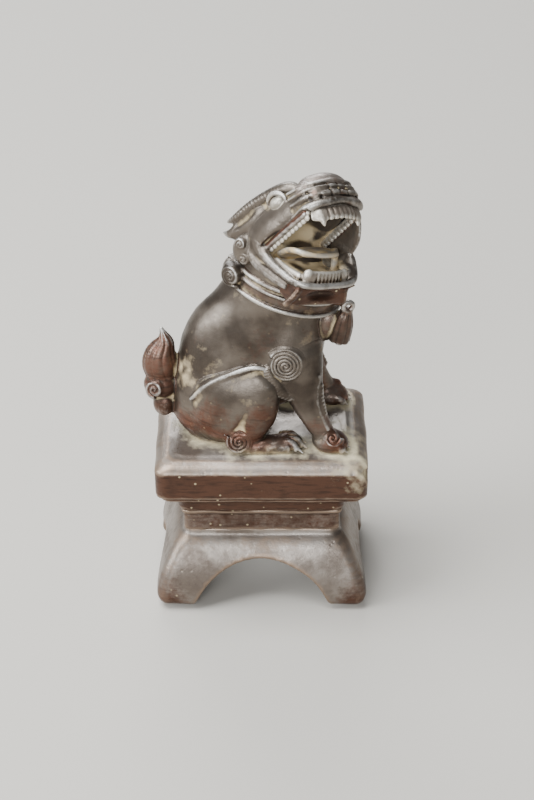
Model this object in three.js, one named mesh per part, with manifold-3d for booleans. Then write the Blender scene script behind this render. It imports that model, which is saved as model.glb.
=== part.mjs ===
// A small cast bronze guardian dog ("foo dog") sitting on a hollow four-legged stand.
// Millimetres, +Z up, the dog's body faces +X and its head turns to its right, towards -Y.
// Every section of the casting is a closed solid of its own, a seam's width clear of its neighbours.
import * as THREE from "three";
import { mergeVertices } from "three/addons/utils/BufferGeometryUtils.js";
import Module from "manifold-3d";

const wasm = await Module();
wasm.setup();

// ---- driving dimensions ----
const SEAM = 0.3; // clearance between two sections of the casting
const WALL = 2.2; // wall of the hollow stand

const LEG_TOP = 24.2; // height of the legs and apron
const WAIST_TOP = 31.2;
const SLAB_TOP = 51.5;
const STAND = { halfX: 31, halfY: 23, corner: 3.2 }; // over the feet
const ARCH_FRONT = { radius: 20.4, apex: 16.2 };
const ARCH_SIDE = { radius: 13.4, apex: 12.2 };

const HEAD_AT = [8.9, -6.4, 60.9]; // middle of the jaw hinge, above the slab
const HEAD_TURN = -57; // degrees about Z, from the body's own direction
const HEAD_ROLL = -16; // degrees: the right cheek is carried higher than the left
const JAW_GAPE = 52; // degrees between the lower jaw and the raised muzzle

const BRONZE = { color: 0x3a2f28, roughness: 0.42, metalness: 0.85 };
const RED_BRONZE = { color: 0x4e2f22, roughness: 0.45, metalness: 0.8 };
const WORN_BRONZE = { color: 0x6e5f4c, roughness: 0.38, metalness: 0.85 };

// ---- geometry helpers ----
const v3 = (x, y, z) => new THREE.Vector3(x, y, z);
const rad = THREE.MathUtils.degToRad;

// A closed skin through rings of equal length, with a flat or pointed cap at each end.
function skin(rings) {
  const count = rings[0].length;
  const points = rings.flat();
  const index = [];
  for (let r = 0; r + 1 < rings.length; r++)
    for (let i = 0; i < count; i++) {
      const a = r * count + i;
      const b = r * count + ((i + 1) % count);
      index.push(a, b, b + count, a, b + count, a + count);
    }
  const cap = (ring, start, flip) => {
    const middle = ring.reduce((sum, p) => sum.add(p), v3(0, 0, 0)).divideScalar(count);
    const at = points.push(middle) - 1;
    for (let i = 0; i < count; i++) {
      const a = start + i;
      const b = start + ((i + 1) % count);
      index.push(...(flip ? [at, b, a] : [at, a, b]));
    }
  };
  cap(rings[0], 0, true);
  cap(rings[rings.length - 1], (rings.length - 1) * count, false);
  return new THREE.BufferGeometry().setFromPoints(points).setIndex(index);
}

// A level ring: a rectangle with round corners.
function roundedRect(halfX, halfY, corner, z, steps = 2) {
  const ring = [];
  const r = Math.min(corner, halfX, halfY);
  for (let q = 0; q < 4; q++)
    for (let i = 0; i <= steps; i++) {
      const a = ((q + i / steps) * Math.PI) / 2;
      const cx = (q === 0 || q === 3 ? 1 : -1) * (halfX - r);
      const cy = (q < 2 ? 1 : -1) * (halfY - r);
      ring.push(v3(cx + r * Math.cos(a), cy + r * Math.sin(a), z));
    }
  return ring;
}

// A limb: oval sections along a smooth curve through the given stations.
// Each station is [x, y, z, radius across, radius up]; grow thickens the limb all over.
function limb(stations, grow = 0, { sides = 10, steps = 2, up = v3(0, 0, 1) } = {}) {
  const middles = stations.map(([x, y, z]) => v3(x, y, z));
  const curve = new THREE.CatmullRomCurve3(middles, false, "centripetal");
  const last = stations.length - 1;
  const total = last * steps;
  const rings = [];
  const section = (t, scale, push) => {
    const at = Math.min(t * last, last - 1e-6);
    const k = Math.floor(at);
    const mix = (n) => THREE.MathUtils.lerp(stations[k][n], stations[k + 1][n], at - k) + grow;
    const tangent = curve.getTangent(t);
    const across = v3().crossVectors(up, tangent).normalize();
    const over = v3().crossVectors(tangent, across).normalize();
    const centre = curve.getPoint(t).addScaledVector(tangent, push);
    const ring = [];
    for (let i = 0; i < sides; i++) {
      const a = (i / sides) * 2 * Math.PI;
      ring.push(
        centre
          .clone()
          .addScaledVector(across, Math.cos(a) * mix(3) * scale)
          .addScaledVector(over, Math.sin(a) * mix(4) * scale),
      );
    }
    rings.push(ring);
  };
  const endPush = (n) => Math.min(stations[n][3], stations[n][4]) * 0.55 + grow;
  section(0, 0.45, -endPush(0));
  section(0, 0.8, -endPush(0) * 0.62);
  for (let i = 0; i <= total; i++) section(i / total, 1, 0);
  section(1, 0.8, endPush(last) * 0.62);
  section(1, 0.45, endPush(last));
  return skin(rings);
}

function ellipsoid(x, y, z, rx, ry, rz, grow = 0, [tiltX, tiltY, tiltZ] = [0, 0, 0], detail = [10, 7]) {
  return new THREE.SphereGeometry(1, ...detail)
    .rotateX(Math.PI / 2)
    .scale(rx + grow, ry + grow, rz + grow)
    .rotateX(rad(tiltX))
    .rotateY(rad(tiltY))
    .rotateZ(rad(tiltZ))
    .translate(x, y, z);
}

// A coiled curl as a low boss turned in steps: rims lie one inside another up to the eye.
// It faces -Y, turned about Z by the given degrees.
function curlBoss(x, y, z, radius, depth, turn, grow = 0, rims = 3) {
  const profile = [new THREE.Vector2(0, -depth - grow), new THREE.Vector2(radius + grow, -depth - grow)];
  for (let i = 0; i < rims; i++) {
    const outer = radius * (1 - i / (rims + 0.6));
    const rise = (depth * i) / rims / 2;
    profile.push(new THREE.Vector2(outer + grow, rise + grow));
    profile.push(new THREE.Vector2(outer - radius * 0.16 + grow * 0.9, rise + 0.5 + grow));
  }
  profile.push(new THREE.Vector2(0, depth / 2 + 0.6 + grow));
  return new THREE.LatheGeometry(profile, 14).rotateX(Math.PI).rotateZ(rad(turn)).translate(x, y, z);
}

// An outline in the XZ plane pushed sideways from y - half to y + half.
function plate(points, y, half) {
  const shape = new THREE.Shape(points.map(([px, pz]) => new THREE.Vector2(px, pz)));
  return new THREE.ExtrudeGeometry(shape, { depth: 2 * half, bevelEnabled: false })
    .rotateX(Math.PI / 2)
    .translate(0, y + half, 0);
}

// ---- solids ----
function toSolid(geometry, matrix = new THREE.Matrix4(), weld = 1e-4) {
  const position = geometry.getAttribute("position").clone();
  const bare = new THREE.BufferGeometry().setAttribute("position", position);
  if (geometry.index) bare.setIndex(geometry.index.clone());
  const merged = mergeVertices(bare.applyMatrix4(matrix), weld);
  return new wasm.Manifold(
    new wasm.Mesh({
      numProp: 3,
      vertProperties: merged.attributes.position.array,
      triVerts: new Uint32Array(merged.index.array),
    }),
  );
}

function toGeometry(solid, matrix) {
  const mesh = solid.getMesh();
  return new THREE.BufferGeometry()
    .setAttribute("position", new THREE.BufferAttribute(new Float32Array(mesh.vertProperties), 3))
    .setIndex(new THREE.BufferAttribute(new Uint32Array(mesh.triVerts), 1))
    .applyMatrix4(matrix);
}

const joined = (solids) => solids.reduce((all, next) => all.add(next));

// The biggest connected body once points closer than a micrometre are welded: crumbs of a cut fall away.
function mainBody(solid) {
  const welded = toSolid(toGeometry(solid, new THREE.Matrix4()), new THREE.Matrix4(), 1e-3);
  return welded.decompose().sort((a, b) => b.volume() - a.volume())[0];
}

// ---- the scene graph ----
const statue = new THREE.Group();
const centred = new THREE.Group();
const stand = new THREE.Group();
const dog = new THREE.Group();
const head = new THREE.Group();
const muzzle = new THREE.Group();
statue.add(centred);
centred.add(stand, dog);
dog.add(head);
head.add(muzzle);
dog.position.z = SLAB_TOP;
head.position.set(...HEAD_AT);
head.rotation.set(rad(HEAD_ROLL), 0, rad(HEAD_TURN), "ZYX");
muzzle.rotation.y = rad(-JAW_GAPE);
statue.updateMatrixWorld(true);

// Sections already placed, as functions that give the grown solid which later sections keep clear of.
const placed = [];

// Adds a section: shape(grow) lists its geometries in its group's frame, cut lists what is taken away.
function section(name, group, finish, shape, { cut = () => [], clear = true } = {}) {
  const world = group.matrixWorld;
  const build = (grow) => {
    const body = joined(shape(grow).map((g) => toSolid(g, world)));
    return cut(grow).reduce((rest, g) => rest.subtract(toSolid(g, world)), body);
  };
  let solid = build(0);
  if (clear) for (const grown of placed) solid = solid.subtract(grown);
  solid = mainBody(solid);
  placed.push(build(SEAM));
  const mesh = new THREE.Mesh(
    toGeometry(solid, world.clone().invert()),
    new THREE.MeshStandardMaterial(finish),
  );
  mesh.name = name;
  mesh.geometry.computeVertexNormals();
  group.add(mesh);
}

// ---- stand ----
// How far the splayed legs are drawn in at a height: they flare in a curve towards the feet.
const FLARE = { reach: 8.4, power: 2.2 };
function legSpread(z) {
  const t = THREE.MathUtils.clamp(z / LEG_TOP, 0, 1);
  return FLARE.reach * Math.pow(t, FLARE.power);
}

function legRings(inset, from, to, steps = 5) {
  const rings = [];
  for (let i = 0; i <= steps; i++) {
    const z = from + ((to - from) * i) / steps;
    const s = legSpread(z) + inset;
    rings.push(roundedRect(STAND.halfX - s, STAND.halfY - s, STAND.corner - inset * 0.5, z));
  }
  return skin(rings);
}

// A round-headed opening through both walls that face along one axis.
function archCut({ radius, apex }, alongX, grow = 0) {
  const reach = 2 * STAND.halfX;
  const drum = new THREE.CylinderGeometry(radius - grow, radius - grow, 2 * reach, 32);
  if (alongX) drum.rotateZ(Math.PI / 2);
  return drum.translate(0, 0, apex - radius);
}

section("stand_legs", stand, RED_BRONZE, (grow) => [legRings(-grow, 0, LEG_TOP + grow)], {
  cut: (grow) => [
    legRings(WALL + grow, -1, LEG_TOP - 2.6 - grow),
    skin([-1, LEG_TOP + 1].map((z) => roundedRect(17.5, 10.5, 2, z))),
    archCut(ARCH_FRONT, false, grow),
    archCut(ARCH_SIDE, true, grow),
  ],
});

section(
  "stand_waist",
  stand,
  RED_BRONZE,
  (grow) => [
    skin(
      [
        [LEG_TOP + SEAM - grow, 22.8],
        [WAIST_TOP - 1.4, 22.8],
        [WAIST_TOP - 0.9, 23.3],
        [WAIST_TOP - SEAM + grow, 23.3],
      ].map(([z, half]) => roundedRect(half + grow, half - 7.8 + grow, 2, z)),
    ),
  ],
  { cut: () => [skin([LEG_TOP - 1, WAIST_TOP + 1].map((z) => roundedRect(19.6, 11.8, 2, z)))] },
);

// The moulded slab: a quarter-round underside, an upright fascia and a sloping shoulder round a flat top.
const SLAB_PROFILE = [
  [WAIST_TOP, 23.6],
  [WAIST_TOP + 0.9, 24.3],
  [WAIST_TOP + 3.6, 26.4],
  [WAIST_TOP + 6.6, 28.8],
  [WAIST_TOP + 8.6, 29.2],
  [WAIST_TOP + 8.8, 30.3],
  [SLAB_TOP - 2.8, 30.4],
  [SLAB_TOP - 2.2, 30.0],
  [SLAB_TOP - 0.6, 27.0],
  [SLAB_TOP, 25.4],
];
section(
  "stand_slab",
  stand,
  RED_BRONZE,
  () => [skin(SLAB_PROFILE.map(([z, half]) => roundedRect(half, half - 8, 3.4, z)))],
  {
    cut: () => [
      skin([
        roundedRect(19.6, 11.8, 2, WAIST_TOP - 1),
        roundedRect(20.5, 12.6, 2, WAIST_TOP + 2),
        roundedRect(26, 18, 2, WAIST_TOP + 9),
        roundedRect(26, 18, 2, SLAB_TOP - 3),
      ]),
      new THREE.CylinderGeometry(6, 6, 8, 24).rotateX(Math.PI / 2).translate(-7, 0, SLAB_TOP),
    ],
  },
);

// ---- legs of the dog: the right side faces -Y, the left side mirrors it ----
// What the slab takes from the sections that stand on it: everything lower than a seam above its top.
const SLAB_BLOCK = { long: 90, wide: 60, deep: 8 };
const aboveSlab = () => [
  new THREE.BoxGeometry(SLAB_BLOCK.long, SLAB_BLOCK.wide, SLAB_BLOCK.deep)
    .translate(0, 0, SEAM - SLAB_BLOCK.deep / 2),
];
const SIDES = { right: -1, left: 1 };
const TOE = [8, 5]; // facets round and along a toe
const LEVEL = [0, 0, 0]; // no tilt
for (const [name, side] of Object.entries(SIDES)) {
  const outward = side < 0 ? 0 : 180; // degrees that turn a curl's face to this side
  const shift = side > 0 ? 0.8 : 0; // the left forefoot stands a little ahead of the right one
  section("forepaw_" + name, dog, BRONZE, (grow) => [
    ellipsoid(20.2 + shift, side * 12.6, 2.4, 5.0, 4.4, 3.0, grow),
    ...[-2.6, 0, 2.6].map((across) =>
      ellipsoid(23.0 + shift, side * 12.6 + across, 1.6, 2.4, 1.4, 1.7, grow, LEVEL, TOE),
    ),
  ], { cut: aboveSlab });
  section("hind_paw_" + name, dog, BRONZE, (grow) => [
    limb(
      [
        [-2.5, side * 14.8, 1.9, 2.6, 2.1],
        [3, side * 15.0, 1.9, 2.9, 2.0],
        [6.4, side * 15.0, 1.8, 3.2, 1.9],
      ],
      grow,
    ),
    ...[-2.2, 0, 2.2].map((across) =>
      ellipsoid(9.2, side * 15.0 + across, 1.4, 2.4, 1.2, 1.3, grow, LEVEL, TOE),
    ),
  ], { cut: aboveSlab });
  section("heel_curl_" + name, dog, BRONZE, (grow) => [
    curlBoss(-6.6, side * 16.0, 3.9, 3.6, 2.4, outward, grow),
  ], { cut: aboveSlab });
  section("shoulder_curl_" + name, dog, BRONZE, (grow) => [
    curlBoss(6.6, side * 13.8, 28.4, 5.0, 3.4, outward, grow, 4),
  ]);
  section("foreleg_" + name, dog, BRONZE, (grow) => [
    limb(
      [
        [10.5, side * 10.0, 25, 4.6, 6.6],
        [12.4, side * 11.6, 16, 3.7, 4.9],
        [15.5 + shift / 2, side * 12.4, 9, 3.0, 3.7],
        [18.6 + shift, side * 12.6, 3.2, 2.9, 3.2],
      ],
      grow,
      { up: v3(1, 0, 0) },
    ),
  ], { cut: aboveSlab });
  section("haunch_" + name, dog, BRONZE, (grow) => [
    limb(
      [
        [-17, side * 9.8, 8.4, 5.2, 7.6],
        [-10, side * 11.0, 12.6, 5.6, 11.6],
        [-2.5, side * 12.2, 18.6, 4.8, 8.6],
        [2.4, side * 12.8, 21.0, 3.4, 5.2],
      ],
      grow,
    ),
    limb(
      [
        [3.2, side * 12.8, 16, 3.2, 3.6],
        [-1.4, side * 13.2, 8, 2.8, 3.0],
        [-5.5, side * 13.6, 3.4, 2.6, 2.8],
      ],
      grow,
      { up: v3(1, 0, 0) },
    ),
  ], { cut: aboveSlab });
}

// ---- tail ----
section("tail_curl", dog, BRONZE, (grow) => [
  curlBoss(-29.4, -2.6, 12.4, 4.6, 3.2, -20, grow),
  ellipsoid(-28.6, 1.0, 8.6, 3.4, 3.6, 4.2, grow),
]);
section("tail_flame", dog, BRONZE, (grow) => [
  limb(
    [
      [-27.8, 0, 14, 3.6, 3.8],
      [-29.0, 0, 21, 3.8, 4.4],
      [-27.2, 0, 27, 2.6, 3.0],
      [-28.0, 0, 31.5, 0.7, 0.8],
    ],
    grow,
    { up: v3(1, 0, 0) },
  ),
]);

// ---- head: x runs forward along the level lower jaw, z is up, the hinge is the origin ----
// The lower jaw is a trough with a thick lip; its floor stays below the hinge.
// Each level: [height, how far the outline is drawn in].
const JAW_LEVELS = [
  [-6.2, 3.4],
  [-4.6, 1.4],
  [-3.2, 0.2],
  [-1.8, 0.5],
];
// Half of the jaw's outline, from the hinge to the lip: [forward, sideways].
const JAW_OUTLINE = [
  [-3, 10.6],
  [8, 9.8],
  [14.4, 8.8],
  [17, 6.4],
];
section(
  "lower_jaw",
  head,
  BRONZE,
  (grow) => [
    skin(
      JAW_LEVELS.map(([z, inset]) => {
        const half = JAW_OUTLINE.map(([x, y], k) => [
          x + (k ? grow : -grow) - (k > 1 ? inset * 0.6 : 0),
          y - inset + grow,
        ]);
        const mirrored = half.map(([x, y]) => [x, -y]);
        return [...mirrored, ...half.reverse()].map(([x, y]) => v3(x, y, z));
      }),
    ),
  ],
  { cut: () => [new THREE.BoxGeometry(12, 12, 2.6).translate(7.6, 0, -1.7)] },
);
section("tongue", head, WORN_BRONZE, (grow) => [
  limb(
    [
      [1, 0, -1.6, 5.2, 0.9],
      [5, 0, 2.2, 5.6, 1.0],
      [9, 0, 4.6, 5.4, 0.9],
      [11, 0, 4.0, 4.2, 0.7],
    ],
    grow,
  ),
]);

// A gum bar with teeth along it, bent round the front of a jaw; point is 1 for teeth that stand up.
// The row is halfFront wide between the canines and opens to halfBack at its back end.
function teethRow({ front, halfFront, halfBack, back, z, point, canine }, grow) {
  const bar = 0.75 + grow;
  const height = 1.1 + grow;
  const path = [
    [back, halfBack + bar],
    [front + bar, halfFront + bar],
    [front + bar, -halfFront - bar],
    [back, -halfBack - bar],
    [back, -halfBack + bar],
    [front - bar, -halfFront + bar],
    [front - bar, halfFront - bar],
    [back, halfBack - bar],
  ];
  const outline = new THREE.Shape(path.map(([x, y]) => new THREE.Vector2(x, y)));
  const gum = new THREE.ExtrudeGeometry(outline, { depth: 2 * height, bevelEnabled: false });
  const parts = [gum.translate(0, 0, z - height)];
  for (const side of [-1, 1]) {
    parts.push(tooth(front - 0.3, side * (halfFront - 0.1), z, canine, 0.95 + grow, point));
    for (let x = front - 3; x > back + 1; x -= 2.2) {
      const across = THREE.MathUtils.mapLinear(x, back, front, halfBack, halfFront);
      parts.push(tooth(x, side * across, z, 2.2, 0.8 + grow, point));
    }
  }
  for (let i = 1; i < 5; i++) {
    parts.push(tooth(front, halfFront * (0.4 * i - 1), z, 2.0, 0.75 + grow, point));
  }
  return parts;
}

function tooth(x, y, z, length, radius, point) {
  return new THREE.CylinderGeometry(radius * 0.35, radius, length, 5)
    .rotateX(Math.PI / 2)
    .translate(0, 0, length / 2)
    .rotateX(point > 0 ? 0 : Math.PI)
    .translate(x, y, z);
}

section("lower_teeth", head, WORN_BRONZE, (grow) =>
  teethRow({ front: 14.9, halfFront: 5.5, halfBack: 7.2, back: 5, z: -1.4, point: 1, canine: 3.4 }, grow),
);

// ---- muzzle and skull: x runs forward along the raised upper jaw ----
section("upper_teeth", muzzle, WORN_BRONZE, (grow) =>
  teethRow({ front: 22.0, halfFront: 5.6, halfBack: 7.8, back: 3, z: -0.2, point: -1, canine: 4.0 }, grow),
);
section("nose", muzzle, RED_BRONZE, (grow) => [
  ellipsoid(22.2, 0, 8.0, 3.2, 3.6, 2.6, grow),
  ellipsoid(22.4, -4.4, 7.2, 2.2, 2.2, 2.1, grow),
  ellipsoid(22.4, 4.4, 7.2, 2.2, 2.2, 2.1, grow),
]);
for (const [name, side] of Object.entries(SIDES)) {
  section("eye_" + name, muzzle, WORN_BRONZE, (grow) => [
    ellipsoid(10.4, side * 8.4, 9.0, 2.3, 2.0, 2.3, grow),
  ]);
  section("ear_crest_" + name, muzzle, BRONZE, (grow) => [
    limb(
      [
        [15.5, side * 5.0, 10.6, 1.4, 1.4],
        [11, side * 6.6, 12.6, 1.9, 1.9],
        [4.7, side * 8.8, 12.8, 2.1, 2.0],
        [-1.5, side * 10.4, 11.8, 2.1, 1.9],
        [-6.5, side * 11.2, 10.8, 1.7, 1.3],
        [-10.4, side * 11.8, 10.4, 0.7, 0.6],
      ],
      grow,
    ),
  ]);
}
section(
  "head_skull",
  muzzle,
  BRONZE,
  (grow) => [
    ellipsoid(1.6, 0, 3.4, 12.4, 10.6, 10.0, grow, [0, 10, 0]),
    limb(
      [
        [4, 0, 5.2, 10.4, 7.0],
        [12, 0, 5.4, 9.4, 6.4],
        [18, 0, 4.6, 8.8, 4.6],
        [22.2, 0, 4.0, 8.0, 3.8],
      ],
      grow,
      { sides: 14 },
    ),
  ],
  {
    cut: () => [
      // the hollow of the mouth: a wedge between the jaws and the palate
      plate([[3.6, 1.0], [6, -20], [36, -20], [36, -0.4], [21, 1.6], [8, 2.6]], 0, 7.4),
      plate([[0, -2.2], [2, -20], [38, -20], [38, -0.2], [10, -0.2]], 0, 16),
    ],
  },
);

// ---- neck, collar and its ornaments ----
for (const [name, turn] of [["right", -45], ["left", -135]]) {
  const side = SIDES[name];
  section("mane_curl_" + name, dog, BRONZE, (grow) => [
    curlBoss(-8.6, side * 6.4, 49.6, 4.2, 4.0, turn, grow),
  ]);
  section("nape_curl_" + name, dog, BRONZE, (grow) => [
    curlBoss(-5.4, side * 7.0, 57.0, 2.5, 3.0, turn, grow, 2),
  ]);
}
// A block hung below the chin: its front stands under the lower lip and leans back.
const CHIN_BLOCK = { top: -3.6, drop: 5.9, half: 8.4, front: 15.8 };
section("chin_plate", head, RED_BRONZE, (grow) => {
  const { top, drop, half, front } = CHIN_BLOCK;
  return [
    skin(
      [top - drop - grow, top - drop / 2, top + grow].map((z, i) => {
        const wide = half + grow + 0.4 * i;
        const reach = front + grow + 0.8 * (i - 2);
        return [
          v3(3, -wide, z),
          v3(reach - 2, -wide, z),
          v3(reach, 2 - wide, z),
          v3(reach, wide - 2, z),
          v3(reach - 2, wide, z),
          v3(3, wide, z),
        ];
      }),
    ),
  ];
});
const LOOP_AT = [24.8, -8.0, 44.4];
section("collar_loop", dog, BRONZE, (grow) => [
  new THREE.TorusGeometry(1.8, 0.85 + grow, 8, 16).rotateX(Math.PI / 2).translate(...LOOP_AT),
]);
section("tassel", dog, BRONZE, (grow) => [
  limb(
    [
      [23.6, -7.2, 41.2, 1.6, 1.7],
      [22.8, -6.8, 37.6, 2.7, 2.8],
      [21.8, -6.2, 34.4, 2.9, 3.1],
    ],
    grow,
    { up: v3(1, 0, 0) },
  ),
]);

const COLLAR = { at: [7.6, -0.6, 48.2], halfX: 15.4, halfY: 13.0, tilt: 16 };
const collarRing = (proud, half, along, grow = 0) =>
  new THREE.CylinderGeometry(1, 1, 2 * (half + grow), 20)
    .rotateX(Math.PI / 2)
    .scale(COLLAR.halfX + proud + grow, COLLAR.halfY + proud + grow, 1)
    .translate(0, 0, along)
    .rotateY(rad(COLLAR.tilt))
    .translate(...COLLAR.at);
section("collar", dog, BRONZE, (grow) => [
  collarRing(0, 2.6, 0, grow),
  collarRing(0.5, 0.5, -2.1, grow),
  collarRing(0.5, 0.5, 2.1, grow),
], {
  cut: () => [collarRing(-2.6, 8, 0)],
});

// ---- trunk: a hollow shell, cast over a core and open underneath ----
// Stations up the body: [middle x, y, z, half width, half length].
const TRUNK = [
  [-13.4, 0, 3.6, 12.6, 13.6],
  [-9.0, 0, 13, 13.2, 17.2],
  [-3.0, 0, 25, 12.8, 20.2],
  [1.6, 0, 35, 12.4, 17.4],
  [4.8, -0.3, 45, 11.6, 14.8],
  [6.6, -1.2, 52, 10.2, 11.8],
];
const CORE_WALL = 3.4;
const alongBody = { sides: 16, up: v3(1, 0, 0) };
const core = TRUNK.slice(0, 5).map(([x, y, z, wide, long]) => {
  return [x, y, z - 3, wide - CORE_WALL, long - CORE_WALL];
});
section("trunk", dog, BRONZE, (grow) => [limb(TRUNK, grow, alongBody)], {
  cut: () => [
    limb(core, 0, { ...alongBody, sides: 10 }),
    new THREE.CylinderGeometry(6, 6, 12, 24).rotateX(Math.PI / 2).translate(-7, 0, 4),
    ...aboveSlab(),
    // the hollow between the belly, the haunches and the forelegs
    ellipsoid(8.5, 0, 3, 9.5, 24, 9.5, 0, LEVEL, [16, 12]),
  ],
});

// The frame's origin is the middle of the footprint, on the floor.
const box = new THREE.Box3().setFromObject(statue, true);
centred.position.set(-(box.min.x + box.max.x) / 2, -(box.min.y + box.max.y) / 2, -box.min.z);
statue.updateMatrixWorld(true);

export default statue;
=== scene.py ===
"""The visible surfaces of a small cast bronze guardian dog on a hollow four-legged stand.

Every section of the casting is sculpted as clay: forms are added to and cut from a block of distances
in millimetres, and the block is then meshed. Two frames are used, both with +Z up and the dog's body
facing +X: the stand's, with its origin on the floor, and the dog's, with its origin on the slab.
"""

import logging
import math
from dataclasses import dataclass, field
from enum import Enum
from typing import Callable, Iterable, Optional, Sequence, Union

import bpy
import numpy as np
from mathutils import Matrix, Vector


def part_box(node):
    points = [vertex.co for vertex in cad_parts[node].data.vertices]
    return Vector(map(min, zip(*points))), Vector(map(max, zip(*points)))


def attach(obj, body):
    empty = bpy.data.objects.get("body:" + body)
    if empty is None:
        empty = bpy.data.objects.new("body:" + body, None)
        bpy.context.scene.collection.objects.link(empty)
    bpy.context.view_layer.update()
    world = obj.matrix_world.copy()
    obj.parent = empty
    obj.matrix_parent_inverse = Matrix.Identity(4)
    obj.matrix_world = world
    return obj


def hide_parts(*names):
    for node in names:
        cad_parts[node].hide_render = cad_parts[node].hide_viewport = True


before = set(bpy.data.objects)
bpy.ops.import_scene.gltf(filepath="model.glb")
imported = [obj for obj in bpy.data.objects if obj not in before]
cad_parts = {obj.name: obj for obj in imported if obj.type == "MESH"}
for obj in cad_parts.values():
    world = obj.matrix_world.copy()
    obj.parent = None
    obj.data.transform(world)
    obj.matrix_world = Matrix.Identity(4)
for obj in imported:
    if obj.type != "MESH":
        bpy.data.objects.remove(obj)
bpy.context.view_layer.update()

LOG = logging.getLogger("guardian_dog")
MM = 0.001
FAR = 30.0  # a distance, in mm, that stands for "nowhere near"
Point = Sequence[float]
Array = np.ndarray


# ---------------------------------------------------------------- distances
def union(a: Array, b: Array, blend: float = 0.0) -> Array:
    """Joins two distance fields, with a fillet about as wide as blend.

    Args:
        a: The first field.
        b: The second field.
        blend: Width of the fillet in mm, or 0 for a sharp line.

    Returns:
        The joined field.
    """
    if blend <= 0:
        return np.minimum(a, b)
    near = np.maximum(blend - np.abs(a - b), 0) / blend
    return np.minimum(a, b) - near * near * blend * 0.25


def common(a: Array, b: Array, blend: float = 0.0) -> Array:
    """Keeps what lies in both fields, with an edge rounded by about blend."""
    return -union(-a, -b, blend)


def unit(v: Array) -> Array:
    """Scales a vector, or each row of vectors, to length one."""
    v = np.asarray(v, float)
    return v / np.linalg.norm(v, axis=-1, keepdims=True)


def spin(x: float = 0.0, y: float = 0.0, z: float = 0.0) -> Array:
    """The turn about X, then Y, then Z, in degrees, as a matrix whose columns are the turned axes."""
    turns = (Matrix.Rotation(math.radians(a), 3, k) for a, k in ((z, "Z"), (y, "Y"), (x, "X")))
    whole = Matrix.Identity(3)
    for turn in turns:
        whole = whole @ turn
    return np.array(whole)


def facing(normal: Point, up: Point = (0, 0, 1)) -> Array:
    """Axes whose third column looks along normal and whose second column leans towards up."""
    out = unit(normal)
    side = unit(np.cross(up, out))
    return np.stack([side, np.cross(out, side), out], axis=1)


@dataclass(frozen=True)
class Seat:
    """A place and a turn that carry points from one frame to another."""

    at: Point = (0.0, 0.0, 0.0)
    turn: Array = field(default_factory=lambda: np.eye(3))

    def into(self, points: Array) -> Array:
        """Points of the outer frame, as this seat sees them."""
        return (points - np.asarray(self.at, np.float32)) @ self.turn.astype(np.float32)

    def out(self, points: Array) -> Array:
        """Points of this seat, in the outer frame."""
        return points @ self.turn.T.astype(np.float32) + np.asarray(self.at, np.float32)

    def then(self, inner: "Seat") -> "Seat":
        """The seat of a frame that sits inside this one."""
        return Seat(tuple(self.out(np.array([inner.at]))[0]), self.turn @ inner.turn)


def value_noise(points: Array, size: float, seed: int) -> Array:
    """Smooth noise from -1 to 1 by summed waves, the same at each run.

    Args:
        points: Where it is wanted, in mm.
        size: Length of its humps in mm.
        seed: Picks one pattern out of many.

    Returns:
        One value for each point.
    """
    draw = np.random.default_rng(seed)
    total = np.zeros(points.shape[:-1], np.float32)
    waves = 7
    for _ in range(waves):
        way = unit(draw.normal(size=3)) * draw.uniform(0.6, 1.5) * 2 * math.pi / size
        total += np.sin(points @ way.astype(np.float32) + np.float32(draw.uniform(0, 6.28)))
    return total / math.sqrt(waves * 2)


# ---------------------------------------------------------------- forms
@dataclass
class Patch:
    """One stretch of a form: the box that it fills and the distance to it."""

    low: Array
    high: Array
    distance: Callable[[Array], Array]


class Form:
    """A shape that can tell how far a point is from its skin."""

    def patches(self) -> list[Patch]:
        """The stretches that make the form."""
        raise NotImplementedError

    def distance(self, points: Array) -> Array:
        """Distance from each point to the skin, below zero inside."""
        nearest = np.full(points.shape[:-1], FAR, np.float32)
        for patch in self.patches():
            nearest = np.minimum(nearest, patch.distance(points))
        return nearest


def oval_distance(along: Sequence[Array], radii: Sequence[Union[float, Array]]) -> Array:
    """Distance to an ellipsoid from its own axes.

    Args:
        along: The three offsets from its middle.
        radii: Its three radii.

    Returns:
        A distance that is true near the skin.
    """
    first = sum((a / r) ** 2 for a, r in zip(along, radii)) ** 0.5
    second = sum((a / (r * r)) ** 2 for a, r in zip(along, radii)) ** 0.5
    return first * (first - 1) / np.maximum(second, 1e-6)


@dataclass
class Pebble(Form):
    """An ellipsoid of clay, turned by degrees about X, Y and Z."""

    at: Point
    radii: Point
    turn: Point = (0.0, 0.0, 0.0)

    def patches(self) -> list[Patch]:
        """The whole pebble as one stretch."""
        seat = Seat(self.at, spin(*self.turn))
        reach = max(self.radii)

        def distance(points: Array) -> Array:
            """Distance to the ellipsoid."""
            own = seat.into(points)
            return oval_distance([own[..., k] for k in range(3)], self.radii)

        return [Patch(np.array(self.at) - reach, np.array(self.at) + reach, distance)]


@dataclass
class Block(Form):
    """A rounded block: half sizes, corner radius and turn."""

    at: Point
    half: Point
    corner: float = 0.4
    turn: Point = (0.0, 0.0, 0.0)

    def patches(self) -> list[Patch]:
        """The whole block as one stretch."""
        seat = Seat(self.at, spin(*self.turn))
        reach = float(np.linalg.norm(self.half))
        core = np.array(self.half, np.float32) - self.corner

        def distance(points: Array) -> Array:
            """Distance to the rounded block."""
            gap = np.abs(seat.into(points)) - core
            outside = np.linalg.norm(np.maximum(gap, 0), axis=-1)
            return outside + np.minimum(gap.max(axis=-1), 0) - self.corner

        return [Patch(np.array(self.at) - reach, np.array(self.at) + reach, distance)]


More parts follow.
